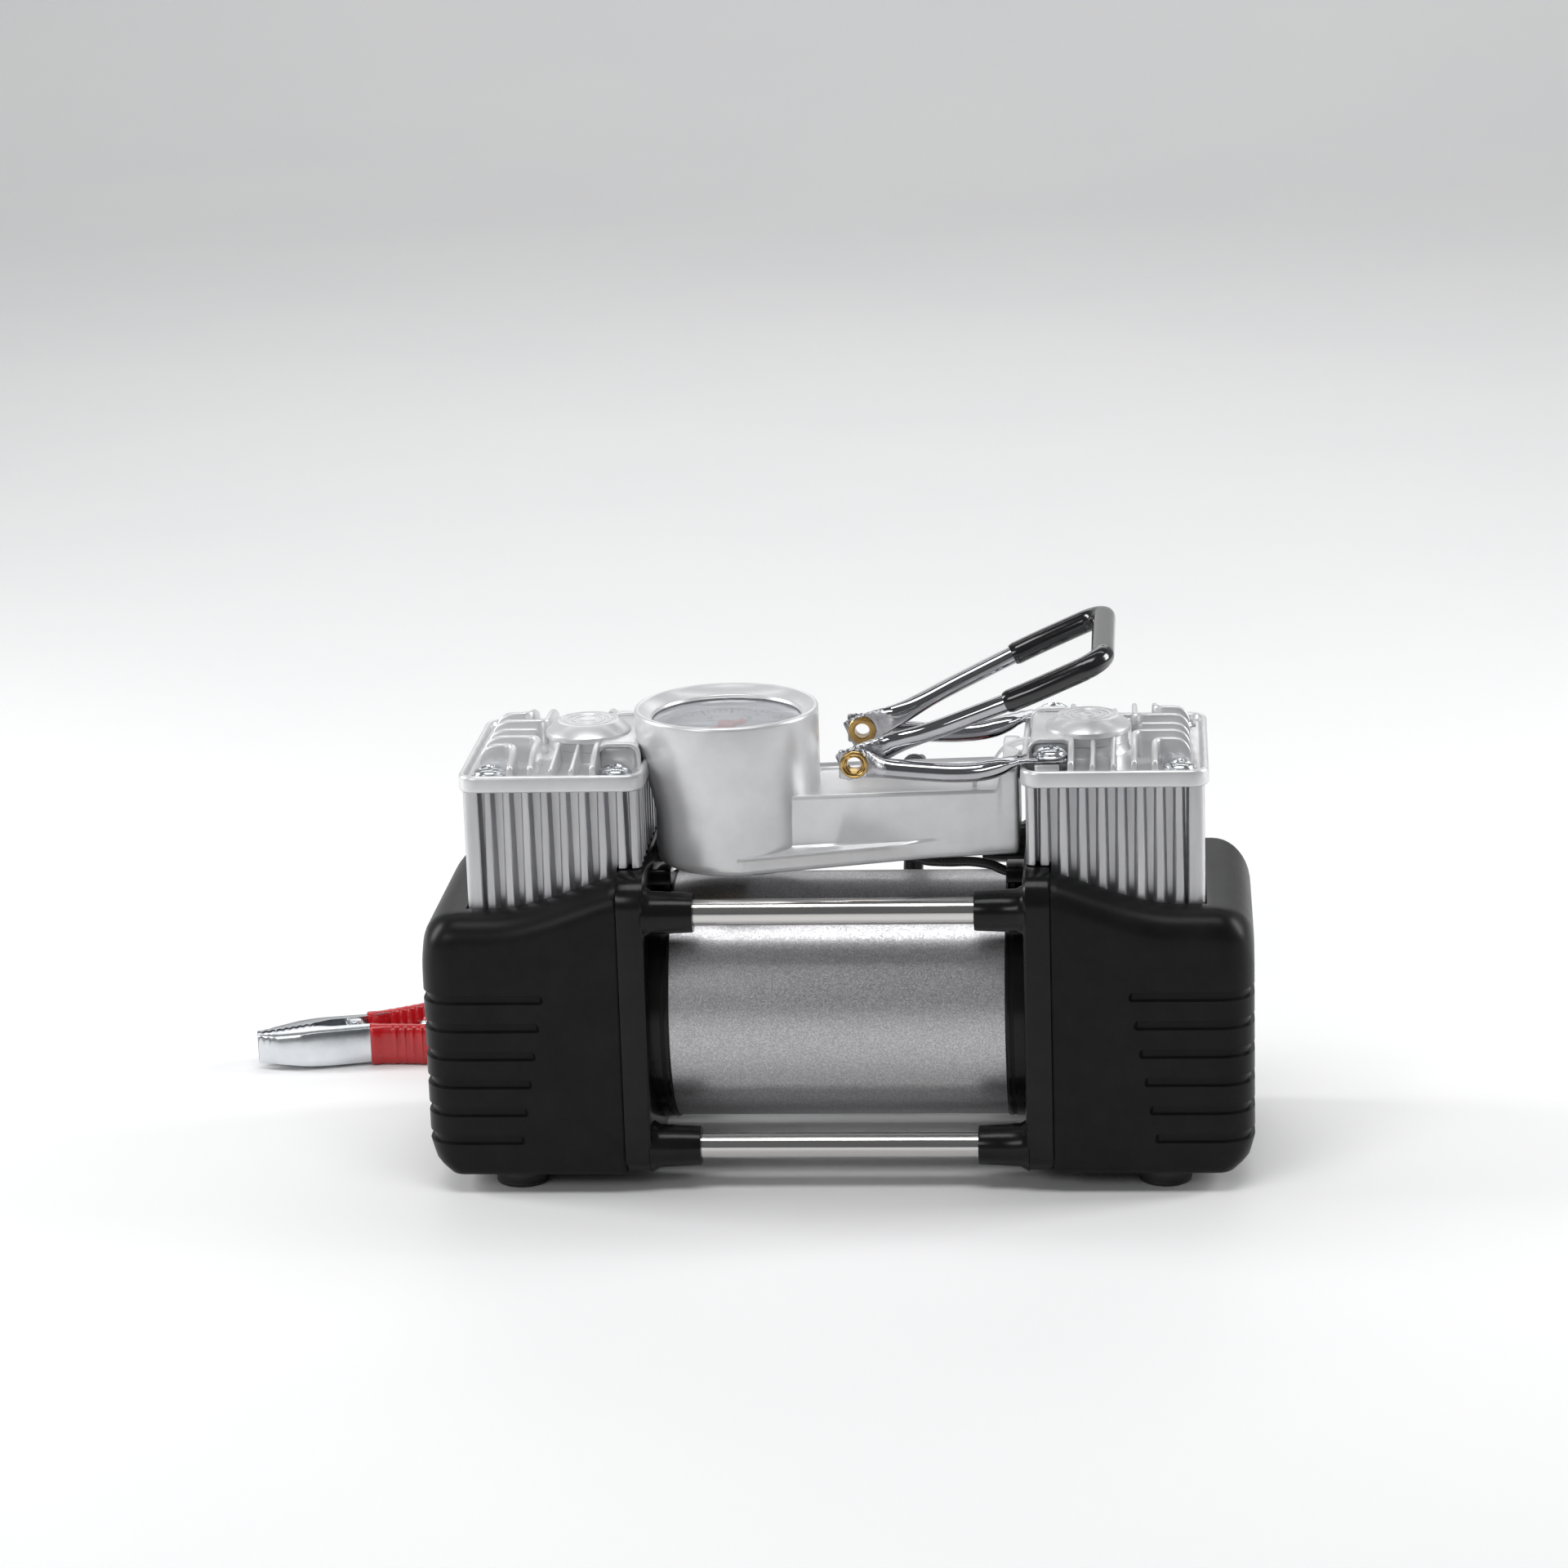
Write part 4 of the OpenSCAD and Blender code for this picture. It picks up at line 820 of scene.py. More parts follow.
def comb(start, end, notches, step):
    """Points of one finned side from start to end; notches are given as distances along it."""
    (x0, y0), (x1, y1) = start, end
    length = hypot(x1 - x0, y1 - y0)
    ax, ay = (x1 - x0) / length, (y1 - y0) / length
    out = []
    for low, high in notches:
        notch = [(low - 0.4, 0), (low - 0.05, 0.3), (low + 0.25, step - 0.7), (low + 0.75, step),
                 (high - 0.75, step), (high - 0.25, step - 0.7), (high + 0.05, 0.3), (high + 0.4, 0)]
        out += [(x0 + ax * s - ay * d, y0 + ay * s + ax * d) for s, d in notch]
    return out


def block_outline(half):
    """The block in plan, with the given half width of its fins."""
    x0, x1, y1 = BLOCK

    def gaps(first, fins, end):
        return list(zip([first] + [p + half for p in fins], [p - half for p in fins] + [end]))

    # The last gap of the long side ends at a fin's flank, the other outer gaps at the block's own corners.
    front = gaps(60.3, FIN_PLACES, 106.9 - half)
    ends = gaps(-y1 + 4.6, END_FIN_PLACES, y1 - 4.6)
    corners = [(x0, -y1), (x1, -y1), (x1, y1), (x0, y1)]
    outline = []
    for k, (notches, step) in enumerate(((front, FIN_DEEP), (ends, FIN_DEEP - 1)) * 2):
        x, y = start = corners[k]
        centre = x - copysign(BLOCK_R, x - HEAD_X), y - copysign(BLOCK_R, y)
        outline += arc(*centre, BLOCK_R, 90 * k - 180, 90 * k - 90, 5)
        distances = sorted(sorted(abs(v - start[k % 2]) for v in gap) for gap in notches)
        outline += comb(start, corners[(k + 1) % 4], distances, step)
    return outline


def cylinder_block(_side):
    """Finned block: fins on all four sides, thicker towards their feet, bored, cut back to sit over the plate."""
    foot, ledge, top = 34, 50, DECK - 0.05
    middle = block_outline(1.25)
    rings = [[(max(x, SEAM_X + 0.4), y, foot) for x, y in block_outline(1.45)],
             [(max(x, SEAM_X + 0.4), y, ledge) for x, y in middle],
             [(x, y, ledge) for x, y in middle],
             [(x, y, top) for x, y in block_outline(0.95)]]
    start = atan2(middle[0][1], middle[0][0] - HEAD_X)
    angles = [start + 2 * pi * k / len(middle) for k in range(len(middle))]
    rings += [[(HEAD_X + BORE_R * cos(a), BORE_R * sin(a), z) for a in angles] for z in (top, foot)]
    return Build(loft(rings, closed_path=True))


# ---------- cylinder heads: u counts from the cylinder's centre towards the motor ----------

HEAD_W = 56
HEAD_D = 69
FLOOR_Z = 77.2
FIN_TOP = 85.2
CAP_AT = (HEAD_X - 8.2, 0, 0)
SCREW_U = (18.9, -19.3)
SCREW_Y = 25.2
PAD_Z = 80.1
BLADE_T = 1.6
BAR_START = -22.6
LEG_END = 32.7


def rib(plan, tops, thick=1.9, foot=0):
    """A cast rib along a line in plan, with the height given at each point and a round top edge."""
    rings = []
    last = len(plan) - 1
    half = thick / 2
    for i, ((u, y), top) in enumerate(zip(plan, tops)):
        (au, ay), (bu, by) = plan[max(i - 1, 0)], plan[min(i + 1, last)]
        d = hypot(bu - au, by - ay)
        nu, ny = (by - ay) / d, (au - bu) / d
        splay = 0.15 + foot * smoothstep(last - 5, last, i)
        profile = [(half + splay, FLOOR_Z - 0.4), (half, FLOOR_Z + 1.6), (half - 0.12, top - 0.8),
                   (half - 0.32, top - 0.25), (half - 0.62, top)]
        profile += [(-a, z) for a, z in reversed(profile)]
        rings.append([(HEAD_X - u - nu * a, y + ny * a, z) for a, z in profile])
    return loft(rings)


def leg_top(y):
    return FIN_TOP - 3.4 * smoothstep(17, 34, y) * (y - 17) / 15.4 - shoulder(LEG_END - y, 0.9)


def bar_top(u):
    return FIN_TOP - shoulder(u - BAR_START, 5)


def end_steps(low, high, near_low=False, near_high=True, middle=5):
    """Places from low to high, closer together at rounded ends."""
    out = [low + t for t in ((0, 0.08, 0.35, 0.9, 1.8, 3.2, 5) if near_low else (0,))]
    tail = [high - t for t in ((0.9, 0.45, 0.15, 0) if near_high else (0,))]
    first, end = out[-1], tail[0]
    return out + [first + (end - first) * k / (middle + 1) for k in range(1, middle + 1)] + tail


def corner_rib(bar_y, leg_u, sign):
    """A bar from the outboard edge that turns forward (or back) into a leg."""
    r = 3
    plan = [(u, bar_y) for u in end_steps(BAR_START, leg_u - r, True, False, 2)]
    plan += arc(leg_u - r, bar_y + r, r, -75, -15, 4) + [(leg_u, y) for y in end_steps(bar_y + r, LEG_END)]
    return rib([(u, sign * y) for u, y in plan], [min(bar_top(u), leg_top(y)) for u, y in plan], foot=0.5)


def small_leg(u, sign):
    places = [11, 14.5, 16.5] + end_steps(18, LEG_END)
    tops = [min(83.4 - 0.12 * (y - 11), leg_top(y) - 0.4) for y in places]
    return rib([(u, sign * y) for y in places], tops, thick=1.7, foot=0.5)


def middle_bar():
    places = end_steps(BAR_START, -7.4, True, True, 3)
    return rib([(u, 0) for u in places], [bar_top(u) - 0.3 - shoulder(-7.4 - u, 0.9) for u in places])


def arch(sign):
    """The rounded frame on the chamber's front, and the fin that runs forward from its outboard post."""
    r = 3.2
    low, high, top = 12.9, 25.3, FIN_TOP - 0.7
    line = [(low, FLOOR_Z - 0.3), (low, top - r)]
    line += [(low + r - r * cos(radians(a)), top - r + r * sin(radians(a))) for a in (22, 45, 68, 90)]
    line += [(high - r + r * sin(radians(a)), top - r + r * cos(radians(a))) for a in (0, 22, 45, 68, 90)]
    line += [(high, FLOOR_Z - 0.3)]
    path = [Vector((HEAD_X - u, sign * 18.4, z)) for u, z in line]

    def section(i, angle):
        return super_ellipse(1, 0.75, 3.5, angle)
    places = end_steps(18, LEG_END, middle=6)
    return (sweep(path, section, [Vector((0, 1, 0))] * len(path), 16),
            rib([(low, sign * y) for y in places], [leg_top(y) for y in places], foot=0.5))


# The tray's lip and the softened top edge of the air chamber between the arches, as (inset, z)
TRAY = [(0.9, DECK + 0.02), (0.35, DECK + 0.12), (0.05, DECK + 0.5), (0, DECK + 1.2), (0.1, 78), (0.2, 78.55),
        (0.5, 78.98), (0.95, 79.2), (1.45, 79.1), (1.85, 78.75), (2.1, 78.1), (2.3, FLOOR_Z + 0.3), (2.8, FLOOR_Z)]
CHAMBER = [(0, FLOOR_Z - 0.3), (0, FIN_TOP - 2.8), (0.15, FIN_TOP - 2.1), (0.6, FIN_TOP - 1.5), (1.4, FIN_TOP - 1.2)]
PAD = [(-0.25, FLOOR_Z - 0.2), (0, FLOOR_Z + 0.6), (0, PAD_Z - 0.35), (0.12, PAD_Z - 0.1), (0.4, PAD_Z)]
HUB = [(0, 83.4), (11.7, 83.4), (12.15, 83), (12.15, 80.45), (11.9, 80.3), (11.9, 80.05), (12.25, 79.9),
       (12.4, 78.2), (13, FLOOR_Z - 0.2), (0, FLOOR_Z - 0.2)]
SPIGOT = [(0, 52.2), (2.2, 52.2), (2.6, 52.6), (2.6, 57.6), (3.4, 58), (3.4, 59), (0, 59)]
# A wide chamfer and turned rings
CAP = [(0, 87.45), (1.5, 87.5), (2, 87.7), (2.6, 87.7), (3, 87.5), (3.9, 87.5), (4.2, 87.75), (4.9, 87.75),
       (5.2, 87.5), (6.1, 87.5), (6.4, 87.78), (7.2, 87.78), (7.5, 87.55), (8.1, 87.55), (8.4, 87.75), (9.1, 87.75),
       (9.6, 87.55), (12.4, 85.2), (12.85, 84.7), (13, 84.2), (13, 83.2), (12.75, 82.9), (0, 82.9)]


def cylinder_head(side):
    shape = Build(slab(round_rect(HEAD_W, HEAD_D, 6, 8, HEAD_X), TRAY)).add(lathe(HUB, 72), shift(CAP_AT))
    shape.add(slab(round_rect(12.2, 36.2, 1.6, 4, HEAD_X - 19.1), CHAMBER)).add(middle_bar())
    for sign in (-1, 1):
        for shell in (corner_rib(18.5, -11.9, sign), corner_rib(9.25, -5.8, sign), small_leg(0.3, sign),
                      small_leg(6.5, sign), *arch(sign)):
            shape.add(shell)
        if side > 0:
            shape.add(slab(round_rect(7.4, 9, 0.9, 4, HEAD_X - 19.9, sign * 26.2), PAD))
    if side < 0:
        return shape.add(lathe(SPIGOT, 32), along("+X", (0, -4, 76.5)))
    elbow = [(61, 73.7), (59, 73.7)] + arc(57.2, 68, 5.7, 90, 180, 10) + [(51.5, 67.5)]
    return shape.add(tube([Vector((x, 5, z)) for x, z in elbow], 5.45, 36, first=(0, 1, 0)))


SCREW_RADII = (0.3, 0.55, 0.75, 1, 1.3, 1.6, 1.9, 2.15, 2.4, 2.6, 3, 3.5, 3.9, 4.2, 4.35, 4.4)
WASHER = [(0, 0), (4.9, 0), (5.1, 0.2), (5.1, 0.6), (4.9, 0.82), (0, 0.82)]


def head_screws(side):
    """Domed screw heads with a cross recess, each on a washer and each turned its own way."""
    def height(x, y, r):
        cut = 1.25 * smoothstep(0.72, 0.5, min(abs(x), abs(y))) * smoothstep(2.5, 1.9, r)
        return 0.85 + 2 * sqrt(max(0, 1 - (r / 4.48) ** 2)) - cut
    dome = [[(x, y, height(x, y, r)) for x, y, z in circle(0, 0, r, 0, 64)] for r in SCREW_RADII]
    dome.append(circle(0, 0, 4.3, 0.6, 64))
    shape = Build()
    for i, u in enumerate(SCREW_U):
        for k, y in enumerate((-SCREW_Y, SCREW_Y)):
            seat = PAD_Z + BLADE_T if side > 0 and u > 0 else FLOOR_Z
            place = shift((HEAD_X - u, y, seat)) @ Matrix.Rotation(radians(20 + 37 * i + 61 * k), 4, "Z")
            shape.add(loft(dome), place).add(lathe(WASHER, 48), place)
    return shape


both_ends(cylinder_block, "finned_cylinder_%", "raw_aluminium", "cylinder_%")
both_ends(cylinder_head, "cast_head_%", "bright_casting", "cylinder_head_%", sharp=42)
both_ends(lambda side: Build(lathe(CAP, 96), shift(CAP_AT)), "turned_cap_%", "bright_casting", "valve_cap_%",
          sharp=25)
both_ends(head_screws, "head_screws_%", "zinc", "head_screws")

# ---------- gauge and air manifold ----------

GAUGE = (-33.1, -4, 0)
LOW_X = -30.4
LOW_R = 25.2
FACE_Y = -22
ARM_FROM = -25
ARM_TO = 55
ARM_FOOT_Z = 45.8
ARM_FOOT_RISE = 4.2
EDGE_Z = 69
EDGE_RISE = 1.6
EDGE_SPAN = (-12, 49)
WALL_Z = 77
TRAY_DEEP = 1.7
TOUCH = -27.23  # where the ridge's front leaves the drum
RIDGE_END = 28
RIDGE_OUT = 7

DRUM_FOOT = [(22.6, 45.4), (23.7, 45.65), (24.6, 46.4), (25.1, 47.5), (25.2, 49), (25.2, 61)]
DRUM_RIM = [(27.9, 91.4), (27.85, 92), (27.6, 92.45), (27.2, 92.68), (26.75, 92.7), (26.35, 92.45), (26, 92.1),
            (23.4, 90.25), (23, 90.1), (22.75, 89.8), (22.6, 89.2), (22.5, 89.12), (24.2, 89.1), (24.2, 82.2),
            (21.6, 82)]
DRUM_INSIDE = [(LOW_X - 0.6, 21.5, 78), (LOW_X - 0.6, 21.5, 46.2), (LOW_X - 0.3, 22, 45.4)]


def gauge_drum():
    """Round housing: rolled foot, walls that open towards the rim, a white cone down to the glass."""
    rows = [(LOW_X, r, z) for r, z in DRUM_FOOT]
    for t in (k / 8 for k in range(1, 9)):
        ease = t * t * (3 - 2 * t) * 0.35 + t * 0.65
        rows.append((LOW_X + (GAUGE[0] - LOW_X) * ease, LOW_R + 2.7 * ease, 61 + 25 * t))
    rows += [(GAUGE[0], r, z) for r, z in DRUM_RIM] + DRUM_INSIDE
    return loft([circle(x, GAUGE[1], r, z) for x, r, z in rows], closed_path=True)


def manifold_arm():
    """The arm to the right head: a tray on top with a raised edge, a ridge that runs out along its front."""
    stations = [-29, -28, TOUCH, -26, -25, -23] + [4 * k - 21 for k in range(17)]
    stations += [45.5, 47, 48, 48.8, 49.4, 49.9, 50.4, 51, 52, 53.8, 54.5, 54.85, 55]
    rings = []
    for x in stations:
        bottom = ARM_FOOT_Z + ARM_FOOT_RISE * (x - ARM_FROM) / (ARM_TO - ARM_FROM)
        start, end = EDGE_SPAN
        edge = EDGE_Z + EDGE_RISE * max(0, min(x, end) - start) / (end - start)
        edge += (WALL_Z - edge) * smoothstep(48.6, 50.6, x)
        tray = edge - TRAY_DEEP * (1 - smoothstep(48.2, 50.2, x))
        strip = max(0, RIDGE_OUT * (RIDGE_END - x) / (RIDGE_END - TOUCH))
        if x < TOUCH:
            strip = sqrt(LOW_R ** 2 - (x - LOW_X) ** 2) + FACE_Y - GAUGE[1] - 0.1
        front = FACE_Y - strip
        ridge = front - 0.45 * smoothstep(RIDGE_END, 20, x)
        under = [(front + 2.6, 0), (front + 1.2, 0.25), (front + 0.35, 0.9), (front, 2), (front, 4.6), (ridge, 5.3),
                 (0.2 * front + 0.8 * ridge, 5.75), (FACE_Y - strip * 0.9, 6.1), (FACE_Y - strip * 0.15, 6.35),
                 (FACE_Y, 7)]
        over = [(-22, -2.2), (-22.15, -1.5), (-22.1, -0.7), (-21.7, -0.15), (-21.1, 0), (-20.5, -0.2)]
        floor = [(-20.1, 0.6), (-19.5, 0.1), (-18.8, 0), (13, 0), (13.7, 0.1), (14.2, 0.6)]
        rear = [(14.5, -0.15), (15, 0), (15.6, -0.3), (15.95, -1), (16, -1.8)]
        below = [(16, 2.2), (15.6, 0.8), (14.8, 0.15), (13.8, 0)]
        ring = [(y, level + z) for level, part in ((bottom, under), (edge, over), (tray, floor), (edge, rear),
                                                   (bottom, below)) for y, z in part]
        end = {54.5: 0.12, 54.85: 0.45, 55: 1}.get(x, 0)
        middle_y, middle_z = -3, (bottom + edge) / 2
        rings.append([(x, middle_y + (y - middle_y) * (1 - end / 19), middle_z + (z - middle_z) * (1 - end / 12))
                      for y, z in ring])
    small_rib = [(41.6, -19.6), (42.8, -19.6), (42.8, -12), (41.6, -12)]
    return Build(loft(rings)).add(slab(small_rib, [(0, 70.5), (0, 72.9), (0.25, 73.2)]))


DIAL_Z = 84.28
DIAL_MARKS = 50


def dial_print():
    """Scale marks over three quarters of a turn, and plain numbers from 0 to 10."""
    marks = Build()
    for k in range(DIAL_MARKS + 1):
        r0, half = (16.6, 0.28) if k % 5 == 0 else (18.6, 0.13)
        turn = Matrix.Rotation(radians(225 - 270 * k / DIAL_MARKS), 4, "Z")
        mark = [(r0, -half), (20.6, -half), (20.6, half), (r0, half)]
        marks.add(slab(mark, [(0, DIAL_Z - 0.06), (0, DIAL_Z)]), shift(GAUGE) @ turn)
    band = [(20.8, -0.06), (21.1, -0.06), (21.1, 0), (20.8, 0), (20.8, -0.06)]
    marks.add(lathe(band, 96), shift((GAUGE[0], GAUGE[1], DIAL_Z)))
    for k in range(0, 11, 2):
        a = radians(225 - 27 * k)
        curve = bpy.data.curves.new("number", "FONT")
        curve.body = str(k)
        curve.size = 4.4
        curve.align_x = curve.align_y = "CENTER"
        curve.extrude = 0.03
        glyph = bpy.data.objects.new("number", curve)
        mesh = glyph.to_mesh()
        marks.add(([v.co for v in mesh.vertices], [p.vertices for p in mesh.polygons]),
                  shift((GAUGE[0] + 12.9 * cos(a), GAUGE[1] + 12.9 * sin(a), DIAL_Z)))
        glyph.to_mesh_clear()
        bpy.data.objects.remove(glyph)
        bpy.data.curves.remove(curve)
    return marks


LENS = [(0, 89.05), (12, 88.98), (20, 88.85), (23.6, 88.7), (24, 88.4), (24, 87.6), (23.7, 87.35), (0, 87.35)]
DIAL = [(1.4, 83.4), (24.1, 83.4), (24.1, 84.1), (23.9, 84.2), (1.4, 84.2), (1.4, 83.4)]
BEZEL = [(24.15, 84.25), (24.15, 87.3), (23.6, 87.3), (21.9, 84.25), (24.15, 84.25)]


def gauge():
    manifold_arm().add(gauge_drum()).make("gauge_and_manifold_casting", "bright_casting", "gauge_housing", sharp=38)
    for profile, name, slot, node in ((LENS, "gauge_glass", "lens", "gauge_lens"),
                                      (DIAL, "gauge_dial_plate", "dial_white", "gauge_dial"),
                                      (BEZEL, "gauge_inner_bezel", "dial_white", "gauge_dial")):
        Build(lathe(profile, 96), shift(GAUGE)).make(name, slot, node)
    dial_print().make("gauge_scale", "dial_white", "gauge_dial", material="dial_print")


# ---------- back of the manifold: outlet, gland, switch; profiles run outwards along Y ----------

SWITCH = (40, 0, 60.5)
HEX_LEVELS = [(0.9, 16.05), (0.15, 16.4), (0, 16.9), (0, 20.3), (0.15, 20.7), (0.8, 20.98)]
# The bezel's section, outside, over its front edge and back down its well: width, height, corner radius, depth
SWITCH_FRAME = [(21, 15, 1.6, 16), (21, 15, 1.6, 17.4), (20.6, 14.6, 1.5, 17.85), (19.8, 13.8, 1.3, 18),
                (18.2, 11.8, 0.8, 18), (17.7, 11.3, 0.6, 17.7), (17.4, 11, 0.5, 12), (18.8, 12.4, 0.8, 12),
                (18.8, 12.4, 0.8, 16)]
ROCKER_LEVELS = [(0.45, -4.9), (0.12, -4.75), (0, -4.4), (0, 4.4), (0.12, 4.75), (0.45, 4.9)]
ROCKER_PIN = [(0, -5.9), (1, -5.9), (1, 5.9), (0, 5.9)]
MOTOR_WIRE = [(20, -8, 54), (20, -8, 50), (21.5, -8, 46.5), (26, -8.4, 44.6), (33, -9, 44.2), (40, -9.5, 44.4),
              (46, -10, 43.6), (49.5, -10, 42), (52, -10, 41.4), (54.8, -10, 41.4)]


def outlet():
    profile = [(2.4, 16.1), (6, 16.1), (6, 17), (4.85, 21)]
    for y in (21.6 + 1.15 * k for k in range(8)):
        profile += [(4.3, y), (4.3, y + 0.2), (4.83, y + 0.55), (4.83, y + 0.7)]
    profile += [(4.2, 30.9), (2.9, 31), (2.4, 30.6), (2.4, 16.1)]
    place = along("+Y", (7, 0, 60))
    fitting = Build(lathe(profile, 48), place).add(slab(arc(0, 0, 6.85, 30, 330, 5), HEX_LEVELS), place)
    fitting.make("outlet_hex_and_thread", "brass", "outlet_fitting", sharp=30)


def strain_relief():
    profile = [(3.3, 12), (4, 12), (4, 16), (5.9, 16.05), (6.2, 16.4), (6.2, 18.4), (5.8, 18.9), (5, 19.1)]
    for y in (20.6 + 2.6 * k for k in range(7)):
        r = 5 - 1.1 * (y - 19) / 21
        profile += [(r, y), (r - 0.75, y + 0.35), (r - 0.75, y + 1), (r - 0.05, y + 1.35)]
    profile += [(3.95, 39.6), (3.7, 40), (3.3, 39.7), (3.3, 12)]
    Build(lathe(profile, 48), along("+Y", (21, 0, 61))).make("ribbed_strain_relief", "black_plastic", "cord_gland")


def switch():
    place = along("+Y", SWITCH)
    frame_rings = [[(u, v, y) for u, v in round_rect(w, d, r, 5)] for w, d, r, y in SWITCH_FRAME]
    body = Build(loft(frame_rings, closed_path=True), place)
    body.add(slab(round_rect(18.8, 12.4, 0.8, 5), [(0, -1), (0, 12.1)]), place)
    for x in (-5, 5):
        body.add(slab(round_rect(4.8, 0.8, 0.3, 2, x), [(0, -8), (0, -0.9)]), place)
    body.make("switch_bezel", "black_plastic", "switch_body")
    top = [(7.6 * t, 1.9 + 1.2 * t * t) for t in (k / 8 for k in range(-8, 9))]
    profile = [(7.6, -0.5), (6, -1.2), (0, -2.4), (-6, -1.2), (-7.6, -0.5)] + top
    place = shift((SWITCH[0], 16.1, SWITCH[2])) @ Matrix.Rotation(radians(10), 4, "Z")
    cap = Build(slab(profile, ROCKER_LEVELS), place).add(lathe(ROCKER_PIN, 24), place)
    cap.make("rocker_cap", "red_plastic", "switch_rocker", "rocker")


# ---------- carry handle ----------

HINGE = (6.4, 78.5)
EYE_REACH = 0.0095
BORE = 2.65
LINK_Y = 21.1
BAIL_Y = 18.7
BAIL_ANGLE = radians(24)
BAIL_END = 81.5
BAIL_CORNER = 7.5
BAIL_R = 2.75
STEPS_PER_SPAN = 6

# A row of a pressed tube: place, half height, half width, squareness. This is the front link: a flat eye on the
# rivet, round tube, then a flat blade under the head's screw.
ROUND_LINK = [(18, 22.5, 77.3), (23, 22.4, 76.8), (28, 22.5, 76.4), (35, 23, 76.1), (42, 23.7, 76.4),
              (47, 24.3, 77.3)]
LINK = [(1.8, LINK_Y, 78.5, 4, 0.6, 5), (2.3, LINK_Y, 78.5, 4.4, 0.7, 4.5), (4.2, LINK_Y, 78.5, 4.55, 0.7, 4),
        (6.4, LINK_Y, 78.5, 4.55, 0.7, 3.2), (8.8, LINK_Y, 78.5, 4.45, 0.75, 3), (10.6, 21.3, 78.3, 4.1, 1.1, 2.6),
        (12.4, 21.9, 78, 3.6, 1.9, 2.2), (14.6, 22.4, 77.7, 3.15, 2.7, 2)]
LINK += [(*at, 3, 3, 2) for at in ROUND_LINK]
LINK += [(51, 24.8, 78.6, 2.5, 3.3, 2.2), (54, 25.1, 79.9, 1.5, 3.9, 2.6), (57, 25.2, 80.75, 0.8, 4.3, 3.4),
         (61, 25.2, 80.9, 0.78, 4.3, 4), (66, 25.2, 80.9, 0.78, 4.3, 4), (69.2, 25.2, 80.9, 0.78, 4.2, 4),
         (70, 25.2, 80.9, 0.7, 3.7, 4)]

# The bail's arm: distance from the hinge, distance from the middle, half height, half width, squareness
BAIL_ARM = [(-4.5, BAIL_Y, 4, 0.6, 5), (-4, BAIL_Y, 4.4, 0.7, 4.5), (-2.2, BAIL_Y, 4.55, 0.7, 4),
            (0, BAIL_Y, 4.55, 0.7, 3.2), (2.6, BAIL_Y, 4.5, 0.72, 3), (5, 18.4, 4.3, 0.9, 2.8),
            (8, 17.7, 3.9, 1.4, 2.5), (11.5, 17.4, 3.5, 1.9, 2.2), (16, 18.5, 3.1, 2.4, 2), (22, 21.2, 2.8, 2.7, 2)]
ROUND_ARM = [(28, 23.4), (34, 25), (45, 27.6), (50, 28.6), (58, 29.7), (66, 30), (74, 30)]
ROUND_ARM += arc(BAIL_END - BAIL_CORNER, 30 - BAIL_CORNER, BAIL_CORNER, 75, 0, 5) + [(BAIL_END, 12)]
BAIL_ARM += [(*at, BAIL_R, BAIL_R, 2) for at in ROUND_ARM]
RIVET = [(2.25, 17.3), (2.25, 21.9), (2.4, 22.25), (2.65, 22.38), (2.9, 22.25), (3.05, 22.1), (3.3, 22.15),
         (3.6, 22.42), (3.9, 22.4), (4.15, 22.2), (4.25, 22), (4.2, 21.84), (2.6, 21.84), (2.6, 17.66),
         (4.1, 17.66), (4.25, 17.5), (4.1, 17.3), (3.2, 17.2), (2.6, 17.22), (2.25, 17.3)]


def drill(piece, y, length):
    """Cuts the hinge's round hole along Y through a piece."""
    cutter = Build(lathe([(0, -length / 2), (BORE, -length / 2), (BORE, length / 2), (0, length / 2)], 48),
                   along("+Y", (HINGE[0], y, HINGE[1])))
    mesh = bpy.data.meshes.new("cutter")
    mesh.from_pydata(in_metres(cutter.points), [], cutter.faces)
    tool = new_object("cutter", mesh)
    cut = piece.modifiers.new("bore", "BOOLEAN")
    cut.operation = "DIFFERENCE"
    cut.object = tool
    cut.solver = "EXACT"
    bpy.context.view_layer.update()
    made = bpy.data.meshes.new_from_object(piece.evaluated_get(bpy.context.evaluated_depsgraph_get()))
    piece.modifiers.clear()
    piece.data = made
    bpy.data.objects.remove(tool)
    shade(made, 32)


def pressed_tube(rows):
    """A tube pressed flat in places, where its skin is slightly dented."""
    path = smooth_path([row[:3] for row in rows], STEPS_PER_SPAN)

    def section(i, angle):
        k = min(i // STEPS_PER_SPAN, len(rows) - 2)
        t = i / STEPS_PER_SPAN - k
        high, wide, power = (a + (b - a) * t for a, b in zip(rows[k][3:], rows[k + 1][3:]))
        flat = smoothstep(0.3, 0.8, 1 - min(high, wide) / max(high, wide))
        dent = 0.22 * flat * sin(0.8 * i + 2 * angle) * sin(0.6 * i - 3 * angle)
        return super_ellipse(wide + dent * 0.4, high + dent, power, angle)
    return Build(sweep(path, section, carried_sides(path, (0, 1, 0)), 32))


def crinkle_eyes(piece):
    """Gives the part pressed flat round the hinge its crinkled skin."""
    piece.data.materials.append(MATERIAL["crinkled_chrome"])
    (hinge,) = in_metres([(HINGE[0], 0, HINGE[1])])
    for face in piece.data.polygons:
        if hypot(face.center.x - hinge[0], face.center.z - hinge[2]) < EYE_REACH:
            face.material_index = 1


def bail_point(along_arm, y):
    return HINGE[0] + along_arm * cos(BAIL_ANGLE), y, HINGE[1] + along_arm * sin(BAIL_ANGLE)


